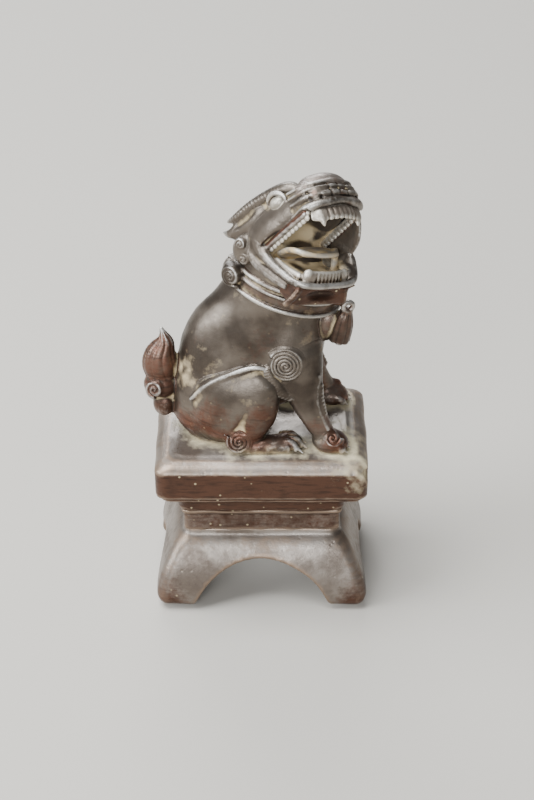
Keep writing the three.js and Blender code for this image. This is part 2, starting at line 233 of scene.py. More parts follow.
def smooth_path(stations: Array, samples: int) -> Array:
    """A smooth curve through stations, whatever they hold in each column.

    Args:
        stations: One row for each station.
        samples: Points on the curve for each gap between stations.

    Returns:
        The rows of the curve.
    """
    padded = np.vstack([2 * stations[0] - stations[1], stations, 2 * stations[-1] - stations[-2]])
    rows = []
    for k in range(len(stations) - 1):
        a, b, c, d = padded[k : k + 4]
        t = np.linspace(0, 1, samples, endpoint=False)[:, None]
        rows.append(
            0.5
            * (
                2 * b
                + (c - a) * t
                + (2 * a - 5 * b + 4 * c - d) * t * t
                + (3 * b - a - 3 * c + d) * t * t * t
            )
        )
    rows.append(stations[-1:])
    return np.vstack(rows)


@dataclass
class Limb(Form):
    """Oval sections along a smooth curve.

    Each station is (x, y, z, radius across, radius over); across is square to up and to the curve.
    ripple gives how far the skin stands out at a length along the limb and an angle round it.
    """

    stations: Sequence[Point]
    up: Point = (0.0, 0.0, 1.0)
    samples: int = 5
    cap: float = 0.8
    ripple: Optional[Callable[[Array, Array], Array]] = None

    def patches(self) -> list[Patch]:
        """One stretch between each two neighbouring sections."""
        path = smooth_path(np.array([list(s)[:5] for s in self.stations], float), self.samples)
        middles = path[:, :3]
        radii = np.maximum(path[:, 3:], 0.05)
        tangents = unit(np.gradient(middles, axis=0))
        across = unit(np.cross(self.up, tangents))
        over = np.cross(tangents, across)
        steps = np.linalg.norm(np.diff(middles, axis=0), axis=1)
        starts = np.concatenate([[0], np.cumsum(steps)])
        return [
            self.stretch(middles[k : k + 2], radii[k : k + 2], across[k : k + 2], over[k : k + 2], starts[k])
            for k in range(len(middles) - 1)
        ]

    def stretch(self, middles: Array, radii: Array, across: Array, over: Array, start: float) -> Patch:
        """The stretch between two sections, each argument holding one row for either end."""
        run = middles[1] - middles[0]
        length = float(np.linalg.norm(run))
        ahead = run / max(length, 1e-6)
        reach = radii.max() * 1.15

        def distance(points: Array) -> Array:
            """Distance to the oval stretch, ripple and all."""
            off = points - middles[0].astype(np.float32)
            forward = off @ ahead.astype(np.float32)
            share = np.clip(forward / max(length, 1e-6), 0, 1)
            off = off - share[..., None] * run.astype(np.float32)
            side = across[0] + share[..., None] * (across[1] - across[0])
            rise = over[0] + share[..., None] * (over[1] - over[0])
            u = (off * side).sum(-1)
            v = (off * rise).sum(-1)
            beyond = forward - share * length
            wide = radii[0, 0] + share * (radii[1, 0] - radii[0, 0])
            tall = radii[0, 1] + share * (radii[1, 1] - radii[0, 1])
            found = oval_distance((u, v, beyond), (wide, tall, np.minimum(wide, tall) * self.cap))
            if self.ripple is not None:
                found = found - self.ripple(start + share * length, np.arctan2(v / tall, u / wide))
            return found.astype(np.float32)

        return Patch(middles.min(axis=0) - reach, middles.max(axis=0) + reach, distance)


@dataclass
class Cord(Form):
    """A round cord along a smooth curve; each station is (x, y, z, radius)."""

    stations: Sequence[Point]
    samples: int = 5

    def patches(self) -> list[Patch]:
        """One stretch between each two neighbouring points of the curve."""
        path = smooth_path(np.array([list(s)[:4] for s in self.stations], float), self.samples)
        return [self.stretch(path[k], path[k + 1]) for k in range(len(path) - 1)]

    @staticmethod
    def stretch(first: Array, last: Array) -> Patch:
        """The straight tapering stretch between two points of the curve."""
        run = (last - first)[:3].astype(np.float32)
        square = max(float(run @ run), 1e-9)
        reach = max(first[3], last[3])

        def distance(points: Array) -> Array:
            """Distance to the tapering stretch."""
            off = points - first[:3].astype(np.float32)
            share = np.clip(off @ run / square, 0, 1)
            gap = np.linalg.norm(off - share[..., None] * run, axis=-1)
            return (gap - (first[3] + share * (last[3] - first[3]))).astype(np.float32)

        ends = np.stack([first[:3], last[:3]])
        return Patch(ends.min(axis=0) - reach, ends.max(axis=0) + reach, distance)


@dataclass
class Curl(Form):
    """A cord wound flat into a spiral, standing proud of a low round boss.

    normal is the way it faces, coils its number of turns, proud how far the middle stands above the
    rim, cord how deep the groove between turns is and hand 1 or -1 for the way it winds.
    """

    at: Point
    normal: Point
    radius: float
    coils: float = 3.0
    proud: float = 0.8
    cord: float = 0.5
    depth: float = 2.5
    hand: int = 1
    start: float = 0.0

    def patches(self) -> list[Patch]:
        """The whole curl as one stretch."""
        seat = Seat(self.at, facing(self.normal))
        pitch = self.radius / (self.coils + 0.25)
        reach = self.radius * 1.3 + self.depth

        def distance(points: Array) -> Array:
            """Distance to the wound cord and its boss."""
            own = seat.into(points)
            u = own[..., 0]
            v = own[..., 1]
            far = np.hypot(u, v)
            turn = ((np.arctan2(v, u) * self.hand + math.radians(self.start)) / (2 * math.pi)) % 1.0
            winding = far / pitch - turn
            across = winding - np.round(winding)
            ridge = np.sqrt(np.maximum(1 - (2 * across) ** 2 * 0.96, 0.02))
            dome = self.proud * (1 - (far / self.radius) ** 2)
            top = own[..., 2] - dome - self.cord * (ridge - 0.5)
            edge = far - pitch * (self.coils - 0.75 + turn)
            skin = common(top * 0.75, edge * 0.9, 0.5 * pitch)
            return common(skin, -own[..., 2] - self.depth, 0.3).astype(np.float32)

        return [Patch(np.array(self.at) - reach, np.array(self.at) + reach, distance)]


@dataclass
class Moulding(Form):
    """An upright prism on a rectangle with round corners, whose half length changes with height.

    Each level of profile is (height, half length); the half width is narrower by inset all the way up.
    """

    profile: Sequence[Point]
    inset: float
    corner: float
    edge: float = 0.5

    def patches(self) -> list[Patch]:
        """The whole moulding as one stretch."""
        heights = np.array([level[0] for level in self.profile], float)
        halves = np.array([level[1] for level in self.profile], float)
        widest = halves.max()

        def distance(points: Array) -> Array:
            """Distance to the prism, by its plan at each height."""
            z = points[..., 2]
            half = np.interp(z, heights, halves)
            gap_x = np.abs(points[..., 0]) - half + self.corner
            gap_y = np.abs(points[..., 1]) - half + self.inset + self.corner
            outside = np.hypot(np.maximum(gap_x, 0), np.maximum(gap_y, 0))
            plan = outside + np.minimum(np.maximum(gap_x, gap_y), 0) - self.corner
            ends = np.maximum(heights[0] - z, z - heights[-1])
            return common(plan * 0.9, ends, self.edge).astype(np.float32)

        low = np.array([-widest, -widest + self.inset, heights[0]])
        high = np.array([widest, widest - self.inset, heights[-1]])
        return [Patch(low, high, distance)]


@dataclass
class Drum(Form):
    """A round bar of endless length along one level axis, which cuts an arch."""

    axis: int
    height: float
    radius: float
    reach: float = 40.0

    def patches(self) -> list[Patch]:
        """The whole bar as one stretch."""
        other = 1 - self.axis

        def distance(points: Array) -> Array:
            """Distance to the bar."""
            return np.hypot(points[..., other], points[..., 2] - self.height) - self.radius

        high = np.array([self.radius, self.radius, self.height + self.radius])
        high[self.axis] = self.reach
        low = -high
        return [Patch(low, high, distance)]


@dataclass
class Placed(Form):
    """A form given in another frame: seat carries that frame's points into this one."""

    form: Form
    seat: Seat

    def patches(self) -> list[Patch]:
        """The form's own stretches, carried over."""
        moved = []
        for patch in self.form.patches():
            picks = np.array(np.meshgrid(*zip(patch.low, patch.high))).reshape(3, -1).T
            corners = self.seat.out(picks)

            def distance(points: Array, inner: Callable[[Array], Array] = patch.distance) -> Array:
                """The form's own distance, in this frame."""
                return inner(self.seat.into(points))

            moved.append(Patch(corners.min(axis=0), corners.max(axis=0), distance))
        return moved


@dataclass
class Lump(Form):
    """Several forms melted into one."""

    forms: Sequence[Form]
    blend: float = 0.0

    def patches(self) -> list[Patch]:
        """One stretch round all the forms."""
        every = [patch for form in self.forms for patch in form.patches()]
        low = np.min([patch.low for patch in every], axis=0)
        high = np.max([patch.high for patch in every], axis=0)

        def distance(points: Array) -> Array:
            """Distance to the melted forms."""
            total = np.full(points.shape[:-1], FAR, np.float32)
            for form in self.forms:
                total = union(total, form.distance(points), self.blend)
            return total

        return [Patch(low, high, distance)]


# ---------------------------------------------------------------- clay
def blurred(values: Array, cells: int) -> Array:
    """Averages a block over a box of 2 cells + 1 a side, twice, which is close to a soft round blur."""
    for _ in range(2):
        for axis in range(3):
            spread = [(cells + 1, cells) if k == axis else (0, 0) for k in range(3)]
            total = np.cumsum(np.pad(values, spread, mode="edge"), axis=axis, dtype=np.float64)
            size = values.shape[axis]
            later = np.take(total, range(2 * cells + 1, 2 * cells + 1 + size), axis=axis)
            sooner = np.take(total, range(0, size), axis=axis)
            values = ((later - sooner) / (2 * cells + 1)).astype(np.float32)
    return values


class Clay:
    """A block of distances on an even grid, sculpted by adding, cutting and pressing forms."""

    def __init__(self, low: Point, high: Point, pitch: float, seat: Seat = Seat()) -> None:
        """Lays out an empty block.

        Args:
            low: Lowest corner in mm, in the block's own frame.
            high: Highest corner in mm.
            pitch: Grid step in mm, which is about the finest detail it holds.
            seat: Where the block's frame sits in the dog's frame.
        """
        self.pitch = pitch
        self.seat = seat
        self.low = np.array(low, np.float32)
        counts = np.ceil((np.array(high) - np.array(low)) / pitch).astype(int) + 1
        self.axes = [lo + pitch * np.arange(n, dtype=np.float32) for lo, n in zip(self.low, counts)]
        self.values = np.full(tuple(counts), FAR, np.float32)
        self.look: Optional[Array] = None

    def window(self, low: Array, high: Array, reach: float) -> tuple:
        """The slices of the grid that hold a box and reach mm round it."""
        return tuple(
            slice(
                int(np.clip(np.floor((lo - reach - start) / self.pitch), 0, size)),
                int(np.clip(np.ceil((hi + reach - start) / self.pitch) + 1, 0, size)),
            )
            for lo, hi, start, size in zip(low, high, self.low, self.values.shape)
        )

    def points(self, window: tuple) -> Array:
        """The grid points in a window, in the block's own frame."""
        return np.stack(np.meshgrid(*(a[w] for a, w in zip(self.axes, window)), indexing="ij"), axis=-1)

    def read(self, form: Form, reach: float) -> tuple:
        """Works out a form's distances on the grid.

        Args:
            form: The form.
            reach: How far round each of its stretches they are wanted.

        Returns:
            The window that was worked out and its distances.
        """
        patches = form.patches()
        low = np.min([p.low for p in patches], axis=0)
        high = np.max([p.high for p in patches], axis=0)
        whole = self.window(low, high, reach)
        found = np.full([w.stop - w.start for w in whole], FAR, np.float32)
        if isinstance(form, Lump):
            for inner in form.forms:
                window, values = self.read(inner, reach)
                spot = tuple(slice(w.start - o.start, w.stop - o.start) for w, o in zip(window, whole))
                found[spot] = union(found[spot], values, form.blend)
            return whole, found
        for patch in patches:
            window = self.window(patch.low, patch.high, reach)
            if any(w.stop <= w.start for w in window):
                continue
            spot = tuple(slice(w.start - o.start, w.stop - o.start) for w, o in zip(window, whole))
            found[spot] = np.minimum(found[spot], patch.distance(self.points(window)))
        return whole, found

    def add(self, form: Form, blend: float = 0.0) -> "Clay":
        """Adds a form, melted in over blend mm."""
        window, values = self.read(form, blend + 1.5)
        self.values[window] = union(self.values[window], values, blend)
        return self

    def cut(self, form: Form, blend: float = 0.0) -> "Clay":
        """Takes a form away, with an edge rounded over blend mm."""
        window, values = self.read(form, blend + 1.5)
        self.values[window] = common(self.values[window], -values, blend)
        return self

    def above(self, height: float, blend: float = 0.3) -> "Clay":
        """Keeps what lies above a level of the block's own frame."""
        level = height - self.axes[2][None, None, :]
        self.values = common(self.values, np.broadcast_to(level, self.values.shape), blend)
        return self

    def press(self, form: Form, depth: float, width: float) -> "Clay":
        """Presses a groove of a depth and half width along a form's skin or a cord.

        A depth below 0 raises a ridge.
        """
        window, values = self.read(form, 3 * width)
        self.values[window] += depth * np.exp(-((values / width) ** 2))
        return self

    def wobble(self, size: float, height: float, seed: int) -> "Clay":
        """Leaves the slight unevenness of a wax worked by hand."""
        near = np.abs(self.values) < 3
        spots = np.argwhere(near)
        points = self.low + spots.astype(np.float32) * np.float32(self.pitch)
        self.values[near] -= height * value_noise(self.seat.out(points), size, seed)
        return self

    def roughen(self, spot: Pebble, size: float, height: float, seed: int) -> "Clay":
        """Breaks the skin up around a spot, whose radii say how far the roughness reaches."""
        near = np.abs(self.values) < 2
        points = self.points(tuple(slice(0, n) for n in self.values.shape))[near]
        away = sum(((points[:, k] - spot.at[k]) / spot.radii[k]) ** 2 for k in range(3))
        self.values[near] += (height * np.exp(-away) * value_noise(points, size, seed)).astype(np.float32)
        return self

    def soften(self, radius: float) -> "Clay":
        """Smooths the skin over radius mm, as a thumb does."""
        limit = 3 * radius
        smooth = blurred(np.clip(self.values, -limit, limit), max(1, round(radius / self.pitch / 1.4)))
        near = np.abs(self.values) < 0.7 * limit
        self.values = np.where(near, smooth, self.values)
        return self

    def sample(self, points: Array) -> Array:
        """Distances at points of the dog's frame, FAR outside the block."""
        own = (self.seat.into(points) - self.low) / self.pitch
        cell = np.floor(own).astype(int)
        inside = np.all((cell >= 0) & (cell < np.array(self.values.shape) - 1), axis=-1)
        found = np.full(points.shape[:-1], FAR, np.float32)
        cell = cell[inside]
        share = (own[inside] - cell).astype(np.float32)
        total = np.zeros(len(cell), np.float32)
        for corner in np.ndindex(2, 2, 2):
            weight = np.prod(np.where(corner, share, 1 - share), axis=-1)
            total += weight * self.values[tuple((cell + corner).T)]
        found[inside] = total
        return found

    def settle(self, *others: "Clay", fillet: float = 1.2, sink: float = 0.9) -> "Clay":
        """Seats this section on its neighbours, with a fillet where the skins meet.

        The fillet runs out on the neighbour's skin, and the section stops a little below that skin.

        Args:
            *others: The neighbours, already sculpted.
            fillet: Width of the fillet in mm.
            sink: How deep the section goes into the neighbours.

        Returns:
            This block.
        """
        own = self.values
        near = own < fillet + 1.0
        points = self.seat.out(self.low + np.argwhere(near).astype(np.float32) * np.float32(self.pitch))
        base = np.full(len(points), FAR, np.float32)
        for other in others:
            base = np.minimum(base, other.sample(points))
        mine = own[near]
        seen = union(mine, base, fillet)
        self.look = own.copy()
        self.look[near] = seen
        body = common(seen - 0.03, mine - fillet * 0.95)
        self.values = own.copy()
        self.values[near] = common(body, -(base + sink))
        return self

    def mesh(self) -> tuple[Array, Array]:
        """Meshes the skin: a point in each grid cell that it crosses, joined into four-sided faces.

        Returns:
            The points in the block's own frame and the faces.
        """
        values = np.pad(self.values, 1, constant_values=FAR)
        origin = self.low - self.pitch
        shape = np.array(values.shape)
        inside = values < 0
        places, cells, turned = [], [], []
        for axis in range(3):
            lower = tuple(slice(0, -1) if k == axis else slice(None) for k in range(3))
            upper = tuple(slice(1, None) if k == axis else slice(None) for k in range(3))
            spots = np.argwhere(inside[lower] != inside[upper])
            step = np.eye(3, dtype=int)[axis]
            a = values[tuple(spots.T)]
            b = values[tuple((spots + step).T)]
            places.append(spots + (a / (a - b))[:, None] * step)
            one, two = np.eye(3, dtype=int)[(axis + 1) % 3], np.eye(3, dtype=int)[(axis + 2) % 3]
            ring = np.stack([spots - one - two, spots - two, spots, spots - one], axis=1)
            ring[a > 0] = ring[a > 0][:, ::-1]
            cells.append(ring)
        places = np.concatenate(places)
        cells = np.concatenate(cells)
        keys = (cells[..., 0] * shape[1] + cells[..., 1]) * shape[2] + cells[..., 2]
        _, faces = np.unique(keys, return_inverse=True)
        faces = faces.reshape(keys.shape)
        counts = np.bincount(faces.ravel())
        repeated = np.repeat(places, 4, axis=0)
        points = np.stack([np.bincount(faces.ravel(), repeated[:, k]) / counts for k in range(3)], axis=1)
        return self.onto_skin(origin + points * self.pitch), faces

    def onto_skin(self, points: Array) -> Array:
        """Moves meshed points along the slope of the field until they lie on the skin."""
        world = self.seat.out(points.astype(np.float32))
        for _ in range(2):
            value = self.sample(world)
            slope = np.stack(
                [
                    self.sample(world + step) - self.sample(world - step)
                    for step in np.eye(3, dtype=np.float32) * self.pitch * 0.5
                ],
                axis=1,
            ) / self.pitch
            square = np.maximum((slope**2).sum(axis=1), 0.2)
            move = np.clip(value / square, -0.4 * self.pitch, 0.4 * self.pitch)
            world = world - move[:, None] * slope
        return world.astype(np.float32)

    def shape_at(self, points: Array, radius: float) -> Array:
        """How the seen skin bends at points: above 0 on edges, below 0 in hollows, over radius mm."""
        held = self.values
        seen = held if self.look is None else self.look
        cells = max(1, round(radius / self.pitch / 1.4))
        limit = 2.5 * cells * self.pitch
        clipped = np.clip(seen, -limit, limit)
        self.values = blurred(clipped, cells) - clipped
        found = self.sample(points) / radius
        self.values = held
        return np.where(np.abs(found) > 5, 0, found)


# ---------------------------------------------------------------- finishes
class Slot(Enum):
    """The record's material slots."""

    BRONZE = "bronze"
    RED_BRONZE = "red_bronze"
    WORN_BRONZE = "worn_bronze"


def linear(colour: str) -> tuple[float, float, float, float]:
    """Turns an sRGB hex colour into linear RGBA."""
    channels = [int(colour[k : k + 2], 16) / 255 for k in (1, 3, 5)]
    return (*(c / 12.92 if c <= 0.04045 else ((c + 0.055) / 1.055) ** 2.4 for c in channels), 1.0)


@dataclass(frozen=True)
class Patina:
    """One finish of cast bronze: the skin's colours, from the hollows to the rubbed edges.

    skin and cloud are the two browns that drift into each other, ruddy is the copper-red that shows
    where a section asks for it, dark lies in the hollows, rubbed is where hands have worn the skin
    through, and earth is the dry ochre left in the recesses.
    """

    name: str
    slot: Slot
    skin: str
    cloud: str
    ruddy: str
    dark: str
    rubbed: str
    earth: str
    metallic: float
    roughness: float
    rub: float
    soil: float
    pits: float

    CLOUD_SIZE = 13.0  # mm, the drift of the brown
    MOTTLE_SIZE = 1.7  # mm, blotches of the patina
    GRAIN_SIZE = 0.45  # mm, the sandy skin left by the mould, drawn coarse enough to show
    PIT_SIZE = 3.4  # mm between casting pits
    STREAK_SIZE = 1.6  # mm, level scuffs through the red skin

    def material(self) -> bpy.types.Material:
        """Builds the material's nodes.

        Returns:
            The material, which reads the skin's "proud", "hollow", "soiled" and "ruddy" attributes.
        """
        material = bpy.data.materials.new(self.name)
        material.use_nodes = True
        tree = material.node_tree
        tree.nodes.clear()
        place = node(tree, "ShaderNodeTexCoord")
        at = place.outputs["Object"]
        cloud = node(
            tree, "ShaderNodeTexNoise", {"Scale": 1 / (self.CLOUD_SIZE * MM), "Detail": 3.0}, Vector=at
        )
        mottle = node(
            tree,
            "ShaderNodeTexNoise",
            {"Scale": 1 / (self.MOTTLE_SIZE * MM), "Detail": 5.0, "Roughness": 0.62},
            Vector=at,
        )
        grain = node(
            tree, "ShaderNodeTexNoise", {"Scale": 1 / (self.GRAIN_SIZE * MM), "Detail": 2.0}, Vector=at
        )
        pits = node(tree, "ShaderNodeTexVoronoi", {"Scale": 1 / (self.PIT_SIZE * MM)}, Vector=at)
        proud = node(tree, "ShaderNodeAttribute", attribute_name="proud").outputs["Fac"]
        hollow = node(tree, "ShaderNodeAttribute", attribute_name="hollow").outputs["Fac"]
        soiled = node(tree, "ShaderNodeAttribute", attribute_name="soiled").outputs["Fac"]
        warm = node(tree, "ShaderNodeAttribute", attribute_name="ruddy").outputs["Fac"]

        def blotched(amount: bpy.types.NodeSocket, low: float, high: float) -> bpy.types.NodeSocket:
            """Breaks an even amount up with the mottle, then cuts it to a soft-edged mask."""
            broken = node(
                tree, "ShaderNodeMath", {1: mottle.outputs["Fac"]}, operation="ADD", **{"0": amount}
            )
            span = {"From Min": low + 0.5, "From Max": high + 0.5}
            return node(tree, "ShaderNodeMapRange", span, Value=broken.outputs[0]).outputs["Result"]

        def laid(under: bpy.types.NodeSocket, over: str, mask: bpy.types.NodeSocket) -> bpy.types.NodeSocket:
            """Lays a colour over another where a mask says."""
            mix = node(tree, "ShaderNodeMix", {"B": linear(over)}, data_type="RGBA", Factor=mask, A=under)
            return mix.outputs[2]

        drift = node(
            tree, "ShaderNodeMapRange", {"From Min": 0.38, "From Max": 0.62}, Value=cloud.outputs["Fac"]
        )
        base = node(
            tree,
            "ShaderNodeMix",
            {"A": linear(self.skin), "B": linear(self.cloud)},
            data_type="RGBA",
            Factor=drift.outputs["Result"],
        )
        colour = laid(base.outputs[2], self.ruddy, blotched(warm, 0.2, 0.8))
        colour = laid(colour, self.dark, blotched(drift.outputs["Result"], 0.5, 1.9))
        colour = laid(colour, self.dark, blotched(hollow, 0.1, 0.75))
        rub = blotched(proud, 0.62 - 0.5 * self.rub, 1.2 - 0.6 * self.rub)
        colour = laid(colour, self.rubbed, rub)
        dragged = node(tree, "ShaderNodeMapping", {"Scale": (0.3, 0.3, 1.9)}, Vector=at)
        streak = node(
            tree,
            "ShaderNodeTexNoise",
            {"Scale": 1 / (self.STREAK_SIZE * MM), "Detail": 4.0},
            Vector=dragged.outputs["Vector"],
        )
        worn = node(
            tree,
            "ShaderNodeMapRange",
            {"From Min": 0.5, "From Max": 0.68, "To Max": 0.75},
            Value=streak.outputs["Fac"],
        )
        scuffed = node(tree, "ShaderNodeMath", {0: worn.outputs["Result"], 1: warm}, operation="MULTIPLY")
        colour = laid(colour, self.dark, scuffed.outputs[0])
        speck = node(
            tree,
            "ShaderNodeMapRange",
            {"From Min": 0.13, "From Max": 0.05, "To Max": self.pits},
            Value=pits.outputs["Distance"],
        )
        chipped = node(tree, "ShaderNodeMath", {0: speck.outputs["Result"], 1: warm}, operation="MULTIPLY")
        colour = laid(colour, self.earth, chipped.outputs[0])
        soil = blotched(soiled, 0.5 - 0.4 * self.soil, 1.3 - 0.3 * self.soil)
        colour = laid(colour, self.earth, soil)
        clean = node(tree, "ShaderNodeMapRange", {"To Min": self.metallic, "To Max": 0.0}, Value=soil)
        rough = node(
            tree,
            "ShaderNodeMapRange",
            {
                "From Min": 0.3,
                "From Max": 0.7,
                "To Min": self.roughness - 0.07,
                "To Max": self.roughness + 0.09,
            },
            Value=mottle.outputs["Fac"],
        )
        dull = node(tree, "ShaderNodeMix", {"B": 0.88}, Factor=soil, A=rough.outputs["Result"])
        pit = node(
            tree,
            "ShaderNodeMapRange",
            {"From Min": 0.03, "From Max": 0.16, "To Min": -self.pits, "To Max": 0.0},
            Value=pits.outputs["Distance"],
        )
        sand = node(tree, "ShaderNodeMath", {1: 0.35}, operation="MULTIPLY", **{"0": grain.outputs["Fac"]})
        worked = node(
            tree, "ShaderNodeMath", operation="ADD", **{"0": sand.outputs[0], "1": mottle.outputs["Fac"]}
        )
        height = node(
            tree, "ShaderNodeMath", operation="ADD", **{"0": worked.outputs[0], "1": pit.outputs["Result"]}
        )
        bump = node(
            tree,
            "ShaderNodeBump",
            {"Strength": 0.35, "Distance": 0.22 * MM},
            Height=height.outputs[0],
        )
        shader = node(
            tree,
            "ShaderNodeBsdfPrincipled",
            **{
                "Base Color": colour,
                "Metallic": clean.outputs["Result"],
                "Roughness": dull.outputs[0],
                "Normal": bump.outputs["Normal"],
            },
        )
        node(tree, "ShaderNodeOutputMaterial", Surface=shader.outputs["BSDF"])
        return material


def node(
    tree: bpy.types.NodeTree, kind: str, values: Optional[dict] = None, **links: object
) -> bpy.types.Node:
    """Adds a node with its settings and links.

    Args:
        tree: The node tree.
        kind: The node's type.
        values: Values, or sockets to link, by input name or number.
        **links: A socket to link by input name or number; anything else is one of the node's settings.

    Returns:
        The node.
    """
    made = tree.nodes.new(kind)
    sockets = dict(values or {})
    for name, value in links.items():
        if isinstance(value, bpy.types.NodeSocket):
            sockets[name] = value
        else:
            setattr(made, name, value)
    for name, value in sockets.items():
        key = int(name) if isinstance(name, str) and name.isdigit() else name
        if isinstance(key, int):
            socket = made.inputs[key]
        else:
            socket = next(s for s in made.inputs if s.name == key and s.enabled)
        if isinstance(value, bpy.types.NodeSocket):
            tree.links.new(value, socket)
        else:
            socket.default_value = value
    return made


# Leaded bronze under an old brown patina: satin, grey where light rakes it, nearly black in hollows.
BRONZE = Patina(
    name="cast bronze with brown patina",
    slot=Slot.BRONZE,
    skin="#645a50",
    cloud="#443a31",
    ruddy="#5e3c2d",
    dark="#261f19",
    rubbed="#aaa49c",
    earth="#bda782",
    metallic=0.7,
    roughness=0.36,
    rub=0.45,
    soil=0.5,
    pits=0.5,
)
# The stand's bronze, where the patina has turned red-brown and wears to a warm copper at the edges.
RED_BRONZE = Patina(
    name="cast bronze with red-brown patina",
    slot=Slot.RED_BRONZE,
    skin="#82786f",
    cloud="#6e6359",
    ruddy="#4f3528",
    dark="#33231b",
    rubbed="#84705f",
    earth="#c2b392",
    metallic=0.7,
    roughness=0.4,
    rub=0.38,
    soil=0.5,
    pits=0.9,
)
# Teeth, tongue and eyes: rubbed pale, with ochre dust held in every recess of the mouth.
WORN_BRONZE = Patina(
    name="rubbed bronze with ochre in the recesses",
    slot=Slot.WORN_BRONZE,
    skin="#948b7e",
    cloud="#83766a",
    ruddy="#5e3c2d",
    dark="#3d2f20",
    rubbed="#c4bbad",
    earth="#b8985f",
    metallic=0.7,
    roughness=0.46,
    rub=0.6,
    soil=0.8,
    pits=0.3,
)


# ---------------------------------------------------------------- the casting
@dataclass(frozen=True)
class Smear:
    """Ochre dust that lies round a point of the dog's frame."""

    at: Point
    radius: float
    strength: float

    def on(self, points: Array) -> Array:
        """How much of it lies at each point."""
        gap = np.linalg.norm(points - np.array(self.at, np.float32), axis=-1)
        return self.strength * np.exp(-((gap / self.radius) ** 2))


class Casting:
    """Turns sculpted sections into dressed pieces, and keeps the clay that later ones settle on.

    FINE, BROAD and WIDE are the sizes in mm at which the skin's hollows are looked for: strands, folds
    and the lee of whole limbs.
    """

    FINE = 0.5
    BROAD = 1.8
    WIDE = 3.2

    def __init__(self) -> None:
        """Takes the stand's middle and the slab's top from the frame."""
        low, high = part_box("stand_legs")
        self.middle = (low + high) / 2
        self.slab_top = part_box("stand_slab")[1].z / MM
        self.clay: dict[str, Clay] = {}
        self.materials: dict[str, bpy.types.Material] = {}
        self.floor_seat = Seat((0.0, 0.0, -self.slab_top))

    def pour(
        self,
        name: str,
        clay: Clay,
        patina: Patina,
        soil: Optional[Callable[[Array], Array]] = None,
        ruddy: Union[float, Callable[[Array], Array]] = 0.0,
    ) -> bpy.types.Object:
        """Meshes a section, makes it the piece for the CAD node of that name and keeps its clay.

        Args:
            name: The node's name, which becomes the piece's.
            clay: The sculpted block.
            patina: Its finish.
            soil: Adds dust, from points of the dog's frame to an amount for each.
            ruddy: How red the patina is, all over or worked out at each point.

        Returns:
            The piece.
        """
        self.clay[name] = clay
        points, faces = clay.mesh()
        fine = clay.shape_at(points, self.FINE)
        broad = clay.shape_at(points, self.BROAD)
        hollow = np.clip(-2.6 * fine - 3.4 * broad, 0, 1)
        proud = np.clip(2.0 * fine + 1.2 * broad, 0, 1)
        wide = clay.shape_at(points, self.WIDE)
        soiled = 0.75 * np.clip(-6.0 * broad, 0, 1) + 0.7 * np.clip(-5.0 * wide, 0, 1)
        if soil is not None:
            soiled = soiled + soil(points)
        warmth = ruddy(points) if callable(ruddy) else np.full(len(points), ruddy)
        world = (points + np.array((0.0, 0.0, self.slab_top), np.float32)) * MM
        world += np.array((self.middle.x, self.middle.y, 0.0), np.float32)
        mesh = bpy.data.meshes.new(name)
        mesh.vertices.add(len(world))
        mesh.vertices.foreach_set("co", world.astype(np.float32).ravel())
        mesh.loops.add(faces.size)
        mesh.loops.foreach_set("vertex_index", faces.astype(np.int32).ravel())
        mesh.polygons.add(len(faces))
        mesh.polygons.foreach_set("loop_start", np.arange(0, faces.size, 4, dtype=np.int32))
        mesh.update(calc_edges=True)
        mesh.polygons.foreach_set("use_smooth", np.ones(len(faces), bool))
        skins = {"hollow": hollow, "proud": proud, "soiled": np.clip(soiled, 0, 1.5), "ruddy": warmth}
        for label, values in skins.items():
            mesh.attributes.new(label, "FLOAT", "POINT").data.foreach_set("value", values.astype(np.float32))
        if patina.name not in self.materials:
            self.materials[patina.name] = patina.material()
        mesh.materials.append(self.materials[patina.name])
        piece = bpy.data.objects.new("bronze_" + name, mesh)
        bpy.context.scene.collection.objects.link(piece)
        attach(piece, "root")
        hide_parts(name)
        LOG.info("%s: %d faces", piece.name, len(faces))
        return piece


